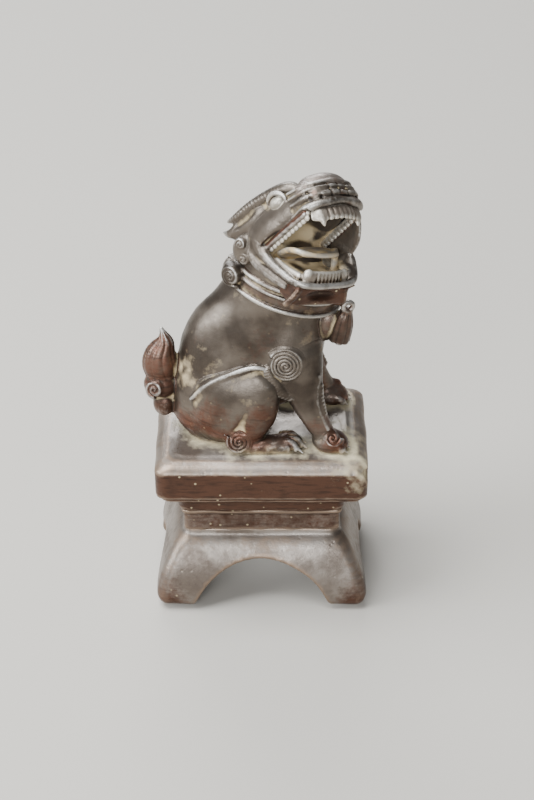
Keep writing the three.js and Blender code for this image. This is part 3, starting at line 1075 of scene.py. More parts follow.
@dataclass
class Stand:
    """The hollow stand: splayed legs with arches, a waist band and the moulded slab. Floor frame, mm."""

    leg_top: float = 24.2
    waist_top: float = 31.2
    slab_top: float = 51.5
    foot_half: float = 31.0
    inset: float = 8.0
    wall: float = 2.2
    flare: float = 8.4
    flare_power: float = 2.2
    front_arch: Drum = field(default_factory=lambda: Drum(1, 16.2 - 20.4, 20.4))
    side_arch: Drum = field(default_factory=lambda: Drum(0, 12.2 - 13.4, 13.4))

    def spread(self, inset: float, low: float, high: float) -> list[Point]:
        """Levels of the splayed legs, drawn in by inset."""
        heights = np.linspace(low, high, 24)
        drawn = self.flare * np.clip(heights / self.leg_top, 0, 1) ** self.flare_power
        return [(z, self.foot_half - d - inset) for z, d in zip(heights, drawn)]

    def legs(self, casting: Casting) -> None:
        """The four legs and the apron between them, cast hollow."""
        clay = Clay((-33, -25, -1), (33, 25, 26), 0.55, casting.floor_seat)
        clay.add(Moulding(self.spread(0, 0, self.leg_top), self.inset, 3.4, edge=5.5))
        top = Moulding([(12, self.foot_half - 6), (self.leg_top, 22.6)], self.inset, 3.0, edge=0.4)
        clay.add(top, 0.3)
        clay.cut(Moulding(self.spread(self.wall, -4, self.leg_top - 2.6), self.inset, 2.6, edge=1.5), 0.5)
        clay.cut(Moulding([(-5, 17.5), (30, 17.5)], 7.0, 2.0), 0.4)
        clay.cut(self.front_arch, 0.8)
        clay.cut(self.side_arch, 0.8)
        clay.wobble(17, 0.22, 3)

        def ruddy(points: Array) -> Array:
            """Red where the feet rub, and along the outer corners."""
            floor = np.exp(-np.maximum(points[:, 2] + self.slab_top - 1.0, 0) / 3.4)
            corner = np.clip((np.abs(points[:, 0]) + np.abs(points[:, 1]) - 43) / 6, 0, 1)
            return 0.9 * floor * (0.4 + corner) + 0.35 * corner

        casting.pour("stand_legs", clay, RED_BRONZE, self.leg_dust, ruddy)

    @staticmethod
    def leg_dust(points: Array) -> Array:
        """A little dust under the waist."""
        return 0.25 * np.exp(-(((points[..., 2] + 27.2) / 0.9) ** 2))

    def waist(self, casting: Casting) -> None:
        """The plain band, with a thin bead along its top."""
        clay = Clay((-25, -17, 23), (25, 17, 32.5), 0.5, casting.floor_seat)
        levels = [(self.leg_top - 0.3, 22.8), (29.7, 22.8), (30.1, 23.4), (self.waist_top + 0.2, 23.4)]
        clay.add(Moulding(levels, self.inset - 0.2, 1.6, edge=0.35))
        clay.cut(Moulding([(20, 19.6), (36, 19.6)], 7.8, 2.0), 0.3)
        clay.wobble(9, 0.09, 5)
        casting.pour("stand_waist", clay, RED_BRONZE, ruddy=0.62)

    def slab(self, casting: Casting, dog: Sequence[str]) -> None:
        """The slab: quarter-round underside, fascia, worn shoulder, and a corner broken away."""
        base = self.waist_top
        levels = [(base - 0.2, 23.7), (base + 0.7, 24.0)]
        levels += [
            (base + 0.9 + 5.9 * math.sin(a), 24.2 + 4.9 * (1 - math.cos(a)))
            for a in np.linspace(0, math.pi / 2, 9)
        ]
        fascia = [(base + 8.2, 29.3), (base + 8.5, 30.3), (48.4, 30.5), (48.9, 30.2)]
        shoulder = [(49.6, 29.6), (50.3, 28.6), (50.9, 27.2), (51.3, 26.0), (self.slab_top, 24.6)]
        clay = Clay((-32, -24, 30), (32, 24, 53), 0.55, casting.floor_seat)
        clay.add(Moulding(levels + fascia + shoulder, self.inset, 3.2, edge=0.3))
        hollow = [(base - 1, 19.6), (base + 2, 20.4), (base + 8.5, 26), (48.2, 26)]
        clay.cut(Moulding(hollow, 7.9, 2.0, edge=1.2), 0.4)
        broken = Lump(
            [
                Pebble((31.4, -23.4, 49.4), (5.6, 4.4, 3.0), (0, 22, 30)),
                Pebble((32.4, -19.6, 47.0), (3.4, 3.6, 2.4), (20, 0, 0)),
                Pebble((27.6, -24.0, 50.6), (3.6, 2.4, 1.6), (0, 14, 0)),
            ],
            0.8,
        )
        clay.cut(broken, 0.6)
        clay.press(
            Cord([(28.2, -22.9, 47.4, 0.1), (30.6, -22.2, 45.6, 0.1), (31.2, -20, 44.8, 0.1)]), 0.5, 0.5
        )
        clay.wobble(14, 0.16, 7)
        clay.roughen(Pebble((30.0, -21.5, 48.6), (4.5, 4.0, 3.4)), size=2.4, height=0.45, seed=31)

        def dust(points: Array) -> Array:
            """Dust that lies against the dog, in the broken corner and along the slab's back."""
            top = points[..., 2] > -1.6
            gap = np.full(len(points), FAR, np.float32)
            for name in dog:
                gap = np.minimum(gap, casting.clay[name].sample(points))
            against = np.exp(-np.maximum(gap, 0) / 2.2) * top
            found = 1.45 * against * (0.8 + 0.35 * value_noise(points, 7.0, 12))
            rim = np.exp(-(((points[..., 2] + 2.4) / 1.1) ** 2)) * np.clip(value_noise(points, 8.0, 15), 0, 1)
            corner = Smear((27.5, -19.5, -3.0), 6.5, 1.0).on(points)
            beside = Smear((24, -6, -0.5), 8.0, 0.8).on(points)
            spill = corner + beside
            return found + 0.5 * rim + spill * (0.75 + 0.4 * value_noise(points, 4.0, 22))

        def ruddy(points: Array) -> Array:
            """Red-brown on the fascia and the moulding below it, grey on the shoulder and top."""
            return np.clip((48.7 - self.slab_top - points[:, 2]) / 0.5, 0, 1)

        casting.pour("stand_slab", clay, RED_BRONZE, dust, ruddy)


@dataclass
class Trunk:
    """The body, cast over a core: rump, ribs, shoulders and neck. Dog frame, mm."""

    stations: Sequence[Point] = (
        (-13.4, 0, 3.6, 12.6, 13.6),
        (-9.0, 0, 13, 13.2, 17.2),
        (-3.0, 0, 25, 12.8, 20.2),
        (1.6, 0, 35, 12.4, 17.4),
        (4.8, -0.3, 45, 11.6, 14.8),
        (6.6, -1.2, 52, 10.2, 11.8),
    )
    neck: Pebble = field(default_factory=lambda: Pebble((7.0, -2.6, 54.5), (11.6, 11.0, 9.5), (0, 14, -30)))
    shoulder: Point = (8.6, 7.0, 28.0)
    belly: Pebble = field(default_factory=lambda: Pebble((8.8, 0, 2.6), (9.8, 24, 9.8)))

    def build(self, casting: Casting) -> None:
        """Sculpts the trunk and keeps its clay for every limb to settle on."""
        clay = Clay((-34, -18, -1.5), (27, 18, 66), 0.6)
        clay.add(Limb(self.stations, up=(1, 0, 0), samples=3, cap=0.55)).soften(2.0)
        clay.add(self.neck, 4)
        for side in (-1, 1):
            x, y, z = self.shoulder
            clay.add(Pebble((x, side * y, z), (7.6, 6.6, 11.0), (0, 8, 0)), 5)
        clay.cut(self.belly, 2.5)
        clay.above(0.15, 0.6)
        core = [(x, y, z - 3, wide - 3.6, deep - 3.6) for x, y, z, wide, deep in self.stations[:5]]
        clay.cut(Limb(core, (1, 0, 0), 2), 1.0)
        clay.wobble(16, 0.3, 11)
        casting.clay["trunk"] = clay

    @staticmethod
    def dust(points: Array) -> Array:
        """Dust near the slab, beside the tail, in the gap behind the foreleg, and thin drifts elsewhere."""
        low = np.exp(-np.maximum(points[:, 2], 0) / 1.5)
        tail = Smear((-22.5, -7.0, 22.0), 5.5, 0.8).on(points)
        elbow = Smear((8.5, -8.5, 5.0), 5.0, 0.8).on(points)
        smears = tail + elbow
        drifts = 0.34 * np.clip(value_noise(points, 7.0, 24), 0, 1)
        return (0.9 * low + smears) * (0.8 + 0.4 * value_noise(points, 4.5, 5)) + drifts

    def pour(self, casting: Casting) -> None:
        """Meshes the trunk."""
        casting.pour("trunk", casting.clay["trunk"], BRONZE, self.dust, self.ruddy)

    @staticmethod
    def ruddy(points: Array) -> Array:
        """Red patches low on the body and the legs."""
        low = np.clip((20 - points[:, 2]) / 14, 0, 1)
        return low * (0.62 + 0.45 * value_noise(points, 11.0, 17)) + 0.25 * value_noise(points, 16.0, 19)


class Side(Enum):
    """The dog's two sides: the right one is on -Y."""

    RIGHT = -1
    LEFT = 1


def combed(depth: float, pitch: float, slant: float, sharp: float = 0.6) -> Callable[[Array, Array], Array]:
    """A ripple of strands side by side.

    Args:
        depth: How deep the lines between the strands are, in mm.
        pitch: Length along the limb from one strand to the next.
        slant: How much the strands turn round the limb as they go.
        sharp: Below 1 the valleys are sharp and the strands round.

    Returns:
        The height at a length along the limb and an angle round it.
    """

    def ripple(along: Array, turn: Array) -> Array:
        """Height of the strands."""
        return depth * (np.abs(np.cos(math.pi * (along / pitch + slant * turn))) ** sharp - 0.6)

    return ripple


@dataclass
class Legs:
    """One side's haunch, foreleg, paws and curls. Given for the left side and mirrored for the right."""

    side: Side
    ahead: float = 0.0

    def mirror(self, x: float, y: float, z: float, *rest: float) -> Point:
        """A station of the left side, on this side."""
        return (x, y * self.side.value, z, *rest)

    @property
    def suffix(self) -> str:
        """The ending of this side's names."""
        return "_" + self.side.name.lower()

    def block(self, low: Point, high: Point, pitch: float) -> Clay:
        """An empty block for a box given on the left side."""
        ends = sorted((low[1] * self.side.value, high[1] * self.side.value))
        return Clay((low[0], ends[0], low[2]), (high[0], ends[1], high[2]), pitch)

    def haunch(self, casting: Casting) -> None:
        """Thigh and shank, with a raised line round the thigh and a fold behind the knee."""
        m = self.mirror
        clay = self.block((-27, 0, -1), (8, 20, 33), 0.42)
        thigh = [m(-14.6, 8.6, 7.6, 5.0, 7.6), m(-9.4, 10.6, 12.4, 6.0, 11.9)]
        knee = [m(-2.8, 11.8, 18.4, 5.2, 9.2), m(0.6, 12.4, 21.8, 3.8, 5.6)]
        clay.add(Limb(thigh + knee, samples=4))
        shank = [m(0.8, 12.8, 20.5, 3.4, 3.6), m(0.2, 13.4, 13.0, 3.4, 4.6)]
        hock = [m(-2.6, 13.8, 7.6, 2.8, 4.4), m(-5.6, 14.0, 4.0, 2.4, 3.6)]
        clay.add(Limb(shank + hock, up=(1, 0, 0), samples=4), 1.4).soften(0.9)
        crest = [m(-20.2, 10.6, 15.0, 0.3), m(-16.6, 12.0, 19.4, 0.45), m(-12.6, 12.9, 22.8, 0.55)]
        crest += [m(-7.0, 13.4, 25.8, 0.6), m(-2.0, 13.6, 27.4, 0.6), m(2.2, 13.6, 26.2, 0.5)]
        clay.add(Cord(crest + [m(4.2, 13.6, 22.4, 0.3)]), 1.7)
        fold = [m(-2.9, 18.0, 18.0, 0.2, 0.2), m(-4.2, 17.8, 14.6, 0.5, 0.7), m(-5.4, 17.4, 11.0, 0.8, 1.1)]
        clay.cut(Limb(fold + [m(-6.4, 16.8, 7.8, 1.0, 1.6)], up=(1, 0, 0)), 1.2)
        clay.above(0.15, 0.5)
        clay.wobble(10, 0.1, 21)
        clay.settle(casting.clay["trunk"], fillet=0.8)
        casting.pour("haunch" + self.suffix, clay, BRONZE, Trunk.dust, Trunk.ruddy)

    def foreleg(self, casting: Casting) -> None:
        """The foreleg, with a ridge down its front and a strip of combed fur beside it."""
        m = self.mirror
        a = self.ahead
        clay = self.block((1, 2, -1), (28, 22, 36), 0.36)
        upper = [m(9.6, 9.2, 28, 4.8, 7.4), m(11.0, 10.4, 23, 4.4, 6.4), m(12.6, 11.6, 16, 3.6, 4.9)]
        lower = [m(15.6 + a / 2, 12.4, 9, 3.0, 3.7), m(18.6 + a, 12.6, 3.2, 2.9, 3.2)]
        clay.add(Limb(upper + lower, up=(1, 0, 0), samples=4)).soften(0.9)
        ridge = [m(16.0, 12.6, 24, 0.35), m(15.6, 14.2, 17, 0.45), m(17.2 + a, 14.6, 11, 0.4)]
        clay.add(Cord(ridge + [m(18.8 + a, 14.8, 7.6, 0.25)]), 1.0)
        strip = [m(16.4, 12.2, 20.8, 0.8, 1.0), m(16.2, 13.0, 17, 1.1, 1.4), m(17.4 + a, 13.4, 12, 0.9, 1.2)]

        def tufts(along: Array, turn: Array) -> Array:
            """Soft ribs across the strip of fur."""
            return 0.1 * np.cos(2 * math.pi * along / 1.15)

        clay.add(Limb(strip, up=(1, 0, 0), ripple=tufts), 0.6)
        back = [
            m(8.6, 13.6, 18.0, 0.3),
            m(10.8, 13.8, 13.6, 0.4),
            m(13.6, 14.2, 8.8, 0.35),
            m(15.6, 14.2, 5.2, 0.25),
        ]
        clay.add(Cord(back), 0.9)
        clay.above(0.15, 0.5)
        clay.settle(casting.clay["trunk"], fillet=2.4)
        casting.pour("foreleg" + self.suffix, clay, BRONZE, Trunk.dust, Trunk.ruddy)

    def forepaw(self, casting: Casting) -> None:
        """The forepaw: a swirl on its back, fanning into four toes with claws."""
        m = self.mirror
        a = self.ahead
        clay = self.block((12, 5, -1), (28.5, 20, 9), 0.2)
        clay.add(Pebble(m(19.6 + a, 12.6, 2.2), (5.2, 4.5, 3.3), (0, 8, 0)))
        for across in (-3.3, -1.15, 1.15, 3.3):
            front = 24.0 + a - 0.28 * across * across / 3
            toe = [
                m(20.2 + a, 12.6 + across * 0.8, 3.4, 0.8, 0.9),
                m(front - 1.4, 12.6 + across, 2.4, 1.15, 1.25),
            ]
            toe += [m(front, 12.6 + across * 1.04, 1.3, 1.0, 1.1)]
            clay.add(Limb(toe, samples=4), 0.35)
            claw = [m(front + 0.2, 12.6 + across * 1.05, 1.3, 0.5, 0.5)]
            claw += [m(front + 1.5, 12.6 + across * 1.08, 0.6, 0.2, 0.2)]
            clay.add(Limb(claw, samples=3), 0.15)
        swirl = Curl(m(20.2 + a, 15.2, 4.6), m(0.1, 0.75, 0.8), 3.3, 2.4, 0.6, 0.55, 2.6, -self.side.value)
        clay.add(swirl, 0.3)
        clay.above(0.12, 0.4)
        clay.settle(casting.clay["foreleg" + self.suffix], fillet=0.8)
        casting.pour("forepaw" + self.suffix, clay, BRONZE, Trunk.dust, Trunk.ruddy)

    def hind_paw(self, casting: Casting) -> None:
        """The hind foot, flat on the slab: combed fur along the top and four toes with claws."""
        m = self.mirror
        clay = self.block((-7, 6.5, -1), (14.5, 19.5, 7), 0.2)
        foot = [m(-3.6, 14.4, 1.8, 2.6, 2.5), m(2.0, 13.8, 1.8, 3.1, 2.5), m(6.8, 12.8, 1.6, 3.8, 2.4)]

        def strands(along: Array, turn: Array) -> Array:
            """Shallow strands that run along the foot, turning as they go."""
            return 0.05 * np.cos(2 * math.pi * (0.28 * along + 0.8 * turn))

        clay.add(Limb(foot, samples=4, ripple=strands))
        for x, y, splay in ((11.0, 15.6, 1.5), (12.2, 13.4, 0.5), (12.0, 11.2, -0.2), (10.8, 9.2, -0.9)):
            root = m(x - 5.2, y - 0.9 * splay, 2.9, 0.9, 0.9)
            knuckle = m(x - 2.6, y - 0.6 * splay, 2.5, 1.1, 1.35)
            clay.add(Limb([root, knuckle, m(x - 1.0, y - 0.1 * splay, 1.3, 0.9, 1.0)], samples=4), 0.25)
            claw = [m(x - 1.0, y - 0.1 * splay, 1.8, 0.5, 0.5), m(x + 0.8, y + 0.5 * splay, 0.5, 0.2, 0.2)]
            clay.add(Limb(claw, samples=3), 0.15)
        clay.above(0.12, 0.4)
        clay.settle(casting.clay["haunch" + self.suffix], fillet=0.8)
        casting.pour("hind_paw" + self.suffix, clay, BRONZE, Trunk.dust, Trunk.ruddy)

    def heel_curl(self, casting: Casting) -> None:
        """The tight spiral behind the hock."""
        m = self.mirror
        clay = self.block((-12.5, 12, -1), (-1, 19.5, 9.5), 0.16)
        hand = self.side.value
        clay.add(Curl(m(-6.4, 16.0, 4.2), m(0.05, 1, 0.2), 4.0, 3.2, 0.7, 0.7, 3.2, hand, 150))
        clay.above(0.1, 0.3)
        near = [casting.clay[n + self.suffix] for n in ("haunch", "hind_paw")]
        clay.settle(*near, fillet=0.7)
        casting.pour("heel_curl" + self.suffix, clay, BRONZE, Trunk.dust, Trunk.ruddy)

    def shoulder_curl(self, casting: Casting) -> None:
        """The large spiral on the shoulder, trailing a fringe of combed fur down to the elbow."""
        m = self.mirror
        clay = self.block((-1, 9, 14), (14, 19.5, 36.5), 0.18)
        hand = -self.side.value
        clay.add(Curl(m(6.8, 14.3, 28.6), m(-0.05, 1, 0.16), 5.2, 5.0, 0.9, 0.62, 3.5, hand, 210))
        fringe = [m(1.4, 13.6, 27.0, 0.9, 0.5), m(2.6, 13.9, 23.2, 1.7, 0.8), m(4.8, 14.0, 20.0, 1.7, 0.8)]
        fringe += [m(8.0, 13.9, 17.4, 0.8, 0.5)]
        clay.add(Limb(fringe, up=m(0, 1, 0), samples=5, ripple=combed(0.15, 0.95, 0.2)), 0.3)
        near = [casting.clay[n] for n in ("trunk", "foreleg" + self.suffix)]
        clay.settle(*near, fillet=0.9)
        casting.pour("shoulder_curl" + self.suffix, clay, BRONZE)

    def build(self, casting: Casting) -> None:
        """Every section of this side, each settling on the ones before it."""
        self.haunch(casting)
        self.foreleg(casting)
        self.forepaw(casting)
        self.hind_paw(casting)
        self.heel_curl(casting)
        self.shoulder_curl(casting)


@dataclass
class Tail:
    """The tail: a coiled root against the rump and a flame of combed strands standing up from it."""

    def flame(self, casting: Casting) -> None:
        """The flame, with strands that follow its bend up to the tip."""
        clay = Clay((-36, -8, 12), (-18, 8, 35), 0.2)
        spine = [(-28.4, -0.6, 17, 3.4, 4.2), (-29.0, -0.6, 20.5, 4.2, 5.0), (-28.8, -0.6, 24.0, 3.6, 4.4)]
        spine += [(-27.4, -0.4, 27.6, 2.2, 2.6), (-27.8, -0.2, 30.4, 1.0, 1.1), (-28.5, 0, 32.4, 0.35, 0.35)]

        def strands(along: Array, turn: Array) -> Array:
            """Deep grooves between the strands, turning a little on the way up."""
            return 0.26 * (np.abs(np.cos(4.5 * (turn + 0.03 * along))) ** 0.7 - 0.6)

        clay.add(Limb(spine, up=(1, 0, 0), samples=6, ripple=strands))
        clay.settle(casting.clay["trunk"], fillet=1.2)
        casting.pour("tail_flame", clay, BRONZE, ruddy=0.65)

    def root(self, casting: Casting) -> None:
        """The knob below the flame: a small spiral towards the near side over a plain lobe."""
        clay = Clay((-37, -10, 2), (-18, 9, 21), 0.23)
        clay.add(Pebble((-28.6, -1.0, 14.4), (5.2, 4.6, 4.0)))
        clay.add(Pebble((-27.8, -1.4, 8.6), (3.4, 3.8, 4.4), (0, 12, 0)), 0.8)
        clay.add(Curl((-30.4, -4.8, 14.6), (-0.35, -0.92, 0.2), 3.5, 2.4, 0.7, 0.65, 3.4, 1, 90), 0.3)
        clay.add(Curl((-27.6, 3.8, 14.2), (-0.3, 0.95, 0.1), 3.2, 2.3, 0.6, 0.6, 3.0, -1, 90), 0.3)
        clay.settle(casting.clay["trunk"], casting.clay["tail_flame"], fillet=0.9)
        casting.pour("tail_curl", clay, BRONZE, ruddy=0.65)

    def build(self, casting: Casting) -> None:
        """The flame first, then the root that wraps its foot."""
        self.flame(casting)
        self.root(casting)


def mirrored(path: Iterable[Point]) -> list[Point]:
    """A half path from -Y to the middle, and the same carried on to +Y."""
    half = list(path)
    return half + [(x, -y, *rest) for x, y, *rest in reversed(half[:-1])]


@dataclass
class Wedge(Form):
    """The open angle between the jaws: all that lies below a level and ahead of a leaning wall."""

    level: float
    wall: float
    lean: float
    low: Point
    high: Point

    def patches(self) -> list[Patch]:
        """The whole wedge as one stretch."""

        def distance(points: Array) -> Array:
            """Distance to the angle's two walls."""
            below = points[..., 2] - self.level
            behind = self.wall - self.lean * points[..., 2] - points[..., 0]
            return np.maximum(below, behind)

        return [Patch(np.array(self.low, float), np.array(self.high, float), distance)]


@dataclass
class Head:
    """The head: turned to the dog's right, tilted, with the muzzle thrown up and the mouth wide open.

    The head frame has its origin at the middle of the jaw hinge, x along the lower jaw and z up; the
    muzzle frame is that one swung up by the gape, with x along the upper lip.
    """

    hinge: Point = (8.9, -6.4, 60.9)
    turn: float = -57.0
    roll: float = -16.0
    gape: float = 52.0

    @property
    def seat(self) -> Seat:
        """The head frame in the dog's frame."""
        return Seat(self.hinge, spin(self.roll, 0, self.turn))

    @property
    def swing(self) -> Seat:
        """The muzzle frame in the head frame."""
        return Seat((0, 0, 0), spin(0, -self.gape, 0))

    @property
    def muzzle(self) -> Seat:
        """The muzzle frame in the dog's frame."""
        return self.seat.then(self.swing)

    def in_muzzle(self, form: Form) -> Form:
        """A form given in the head frame, for a block in the muzzle frame."""
        return Placed(form, Seat((0, 0, 0), self.swing.turn.T))

    def skull(self, casting: Casting) -> None:
        """Skull and snout: cheeks, folded upper lip, wrinkled snout, lids and the roof of the mouth."""
        clay = Clay((-14, -14, -14), (27.5, 14, 16.5), 0.3, self.muzzle)
        clay.add(Pebble((1.4, 0, 2.8), (12.0, 10.4, 10.4), (0, 10, 0)))
        snout = [
            (3, 0, 4.8, 10.0, 7.8),
            (9, 0, 5.2, 9.9, 7.0),
            (15, 0, 5.0, 9.5, 6.0),
            (19.4, 0, 4.6, 9.0, 5.0),
        ]
        clay.add(Limb(snout + [(22.6, 0, 4.1, 7.9, 3.9)], samples=4, cap=0.7), 3)
        clay.add(Pebble((17.0, 0, 7.0), (6.0, 7.4, 4.0), (0, 10, 0)), 2)
        clay.soften(0.8)
        for side in (-1, 1):
            clay.add(Pebble((4.5, side * 7.6, 3.6), (9.5, 3.4, 5.6), (0, 6, side * -4)), 3)
            clay.add(self.in_muzzle(Pebble((-4.4, side * 7.4, 0.6), (5.6, 3.4, 7.6), (0, -14, 0))), 3)
            clay.add(Cord(self.lid(side), 2), 0.5)
            crease = [(13.8, side * 8.2, 7.4, 0.1), (15.6, side * 8.0, 5.6, 0.1)]
            crease += [(15.0, side * 9.0, 3.8, 0.1)]
            clay.press(Cord(crease), 0.35, 0.6)
        fold = mirrored([(14.5, -9.7, 1.5, 0.7), (19.0, -9.2, 1.5, 1.0), (22.4, -7.4, 1.5, 1.15),
                         (24.1, -4.0, 1.7, 1.15), (24.6, 0, 1.9, 1.1)])
        clay.add(Cord(fold), 0.6)
        for height, radius in ((3.9, 0.85), (5.8, 0.8), (7.5, 0.7)):
            out = 0.9 - 0.22 * (height - 3.9)
            wrinkle = [(15.4, -9.4, height + 1.1, 0.4), (20.0 + out, -8.2, height + 0.5, radius)]
            wrinkle += [(23.2 + out, -5.2, height, radius), (24.2 + out, 0, height, radius)]
            clay.add(Cord(mirrored(wrinkle)), 0.12)
        for across in (-8.0, -5.6, -2.8, 0.0, 2.8, 5.6, 8.0):
            groove = [(25.9 - 0.055 * across**2 - 0.3 * (z - 3), across, z, 0.1) for z in (2.8, 4.6, 6.6)]
            clay.press(Cord(groove, 3), 0.36, 0.36)
        clay.cut(Wedge(1.2, -1.4, 0.16, (-3, -15, -20), (19, 15, 1.8)), 0.4)
        clay.cut(Wedge(0.1, -1.4, 0.16, (18, -15, -20), (30, 15, 0.6)), 0.4)
        clay.cut(Pebble((11.4, 0, -1.4), (11.2, 6.9, 5.0)), 0.6)
        clay.cut(self.in_muzzle(Pebble((5.6, 0, 3.4), (7.2, 6.4, 6.2))), 0.8)
        for side in (-1, 1):
            band = [
                (19.0, side * 8.8, 0.9, 0.75, 0.8),
                (9.5, side * 9.4, 0.9, 0.85, 1.0),
                (-0.6, side * 9.5, 0.8, 1.2, 1.1),
            ]
            clay.add(Limb(band), 0.25)
        web = [
            (7.6, 9.6, -1.4, 1.3, 5.4),
            (6.8, 10.0, 4.5, 1.2, 5.4),
            (8.0, 10.0, 8, 1.2, 5.4),
            (8.5, 9.6, 11, 1.2, 5.4),
        ]
        web += [(8.2, 9.0, 14, 1.2, 4.8), (9.0, 8.6, 16.6, 1.1, 3.2)]
        clay.add(self.in_muzzle(Limb(web, up=(1, 0, 0), samples=4)), 0.8)
        for side in (-1, 1):
            channel = [(19.4, side * 9.6, 1.3, 0.1), (14, side * 10.0, 1.3, 0.1), (6, side * 10.5, 1.2, 0.1)]
            clay.press(Cord(channel + [(-0.5, side * 10.5, 1.0, 0.1)]), 0.5, 0.6)
        clay.wobble(8, 0.14, 41)
        clay.settle(casting.clay["trunk"], fillet=2.0)
        casting.pour("head_skull", clay, BRONZE, self.mouth_dust, self.lip_red)

    @staticmethod
    def lid(side: int) -> list[Point]:
        """The almond-shaped rim round one eye, as a cord's stations."""
        rim = []
        for a in np.linspace(0, 2 * math.pi, 17):
            x = 10.2 + 3.5 * math.cos(a)
            z = 8.8 + 2.7 * math.sin(a) - 0.5 * math.cos(a)
            y = 9.4 + 0.5 * math.sin(a) - 0.04 * (x - 10.2) ** 2
            rim.append((x, side * y, z, 0.6))
        return rim

    def lip_red(self, points: Array) -> Array:
        """Red-brown on the band between the cheek and the molars, and on the snout's ridges."""
        own = self.muzzle.into(points)
        level = np.clip((1.9 - own[:, 2]) / 0.8, 0, 1) * (own[:, 2] > -1.0)
        band = level * (np.abs(own[:, 1]) > 7.6) * (own[:, 0] < 20) * (own[:, 0] > -2.5)
        snout = np.clip((own[:, 0] - 17) / 4, 0, 1) * 0.4 * value_noise(points, 4.0, 31)
        return np.clip(0.9 * band + snout, 0, 1)

    def mouth_dust(self, points: Array) -> Array:
        """Dust on the roof of the mouth, thickest at its back, and a trace along the cheek's edge; the front
        of the roof is cleared of all dust so that it stays dark, as painted shade.
        """
        own = self.seat.into(points)
        inner = np.abs(own[:, 1]) < 8.4
        deep = 0.75 * np.exp(-(((own[:, 0] - 5.5) / 5.0) ** 2 + ((own[:, 2] - 3.5) / 4.6) ** 2)) * inner
        cheek = Smear(tuple(self.muzzle.out(np.array((8.0, -9.0, 11.5)))), 3.5, 0.7).on(points)
        behind = Smear(tuple(self.muzzle.out(np.array((-5.0, -9.5, 5.0)))), 5.0, 0.5).on(points)
        roof = self.muzzle.into(points)
        # painted shade: the front of the roof of the mouth is cleared of dust so that it stays dark
        painted_shade_roof = np.clip((roof[:, 0] - 7) / 6, 0, 1) * (roof[:, 2] > 0.6)
        painted_shade_roof = painted_shade_roof * (np.abs(roof[:, 1]) < 8) * (roof[:, 2] < 5)
        return (deep + cheek + behind) * (0.9 + 0.5 * value_noise(points, 3.4, 6)) - 0.9 * painted_shade_roof

    def lower_jaw(self, casting: Casting) -> None:
        """The lower jaw: a thick lip round a shallow floor, and the smooth band that edges the cheek."""
        clay = Clay((-12.5, -13.5, -9.5), (19, 13.5, 11.5), 0.28, self.seat)
        floor = [
            (-2.5, 0, -3.4, 9.9, 3.0),
            (4, 0, -4.0, 9.6, 2.3),
            (10, 0, -4.3, 9.1, 1.9),
            (14.6, 0, -4.0, 8.2, 1.5),
        ]
        clay.add(Limb(floor, samples=4, cap=0.5))
        near = [
            (-4.0, -9.8, 1.6, 1.4),
            (-1.6, -10.2, 0.0, 1.6),
            (3.0, -10.0, -1.7, 1.4),
            (9.0, -9.5, -2.6, 1.15),
        ]
        near += [
            (13.6, -8.7, -3.0, 0.95),
            (16.2, -6.6, -3.1, 0.85),
            (17.1, -3.2, -3.1, 0.8),
            (17.2, 0, -3.0, 0.8),
        ]
        far = [
            (17.3, 4.0, -2.8, 0.8),
            (16.9, 8.0, -2.4, 0.85),
            (15.6, 10.0, -1.4, 0.95),
            (13.6, 10.6, 0.6, 1.0),
        ]
        far += [(11.4, 10.4, 2.6, 1.1), (8.0, 10.0, 0.0, 1.3), (1.0, 10.0, -0.6, 1.5), (-4.0, 9.8, 1.6, 1.4)]
        clay.add(Cord(near + far), 0.9)
        corner = [(8, 5.0, -3.4, 4.6, 1.8), (12.4, 6.0, -3.0, 4.4, 1.8), (14.6, 6.8, -2.8, 2.8, 1.5)]
        clay.add(Limb(corner, samples=3), 0.8)
        clay.add(Pebble((12.6, 8.8, -1.2), (3.0, 1.8, 2.6)), 0.8)
        clay.cut(Pebble((7.4, 0, -0.6), (9.6, 8.2, 1.1), (0, -5, 0)), 0.7)
        for side in (-1, 1):
            band = [(-9.2, side * 8.6, 9.4, 0.9), (-9.2, side * 9.2, 4.4, 1.2), (-7.2, side * 9.9, -1.0, 1.4)]
            band += [
                (-2.4, side * 10.2, -4.2, 1.35),
                (5, side * 9.7, -5.2, 1.2),
                (10.6, side * 8.8, -5.6, 0.9),
            ]
            clay.add(Cord(band), 0.8)
        clay.settle(casting.clay["trunk"], casting.clay["head_skull"], fillet=0.9)
        casting.pour("lower_jaw", clay, BRONZE, self.lip_dust)

    def lip_dust(self, points: Array) -> Array:
        """Dust inside the lip and on the corner of the mouth."""
        own = self.seat.into(points)
        inside = np.exp(-((np.maximum(own[:, 2] + 0.4, 0)) / 1.6) ** 2) * (np.abs(own[:, 1]) < 8.6)
        level = (own[:, 2] > -3.4) & (own[:, 0] < 14.6)
        return 1.2 * inside * level * (own[:, 0] > -3) * (0.8 + 0.5 * value_noise(points, 4.0, 8))

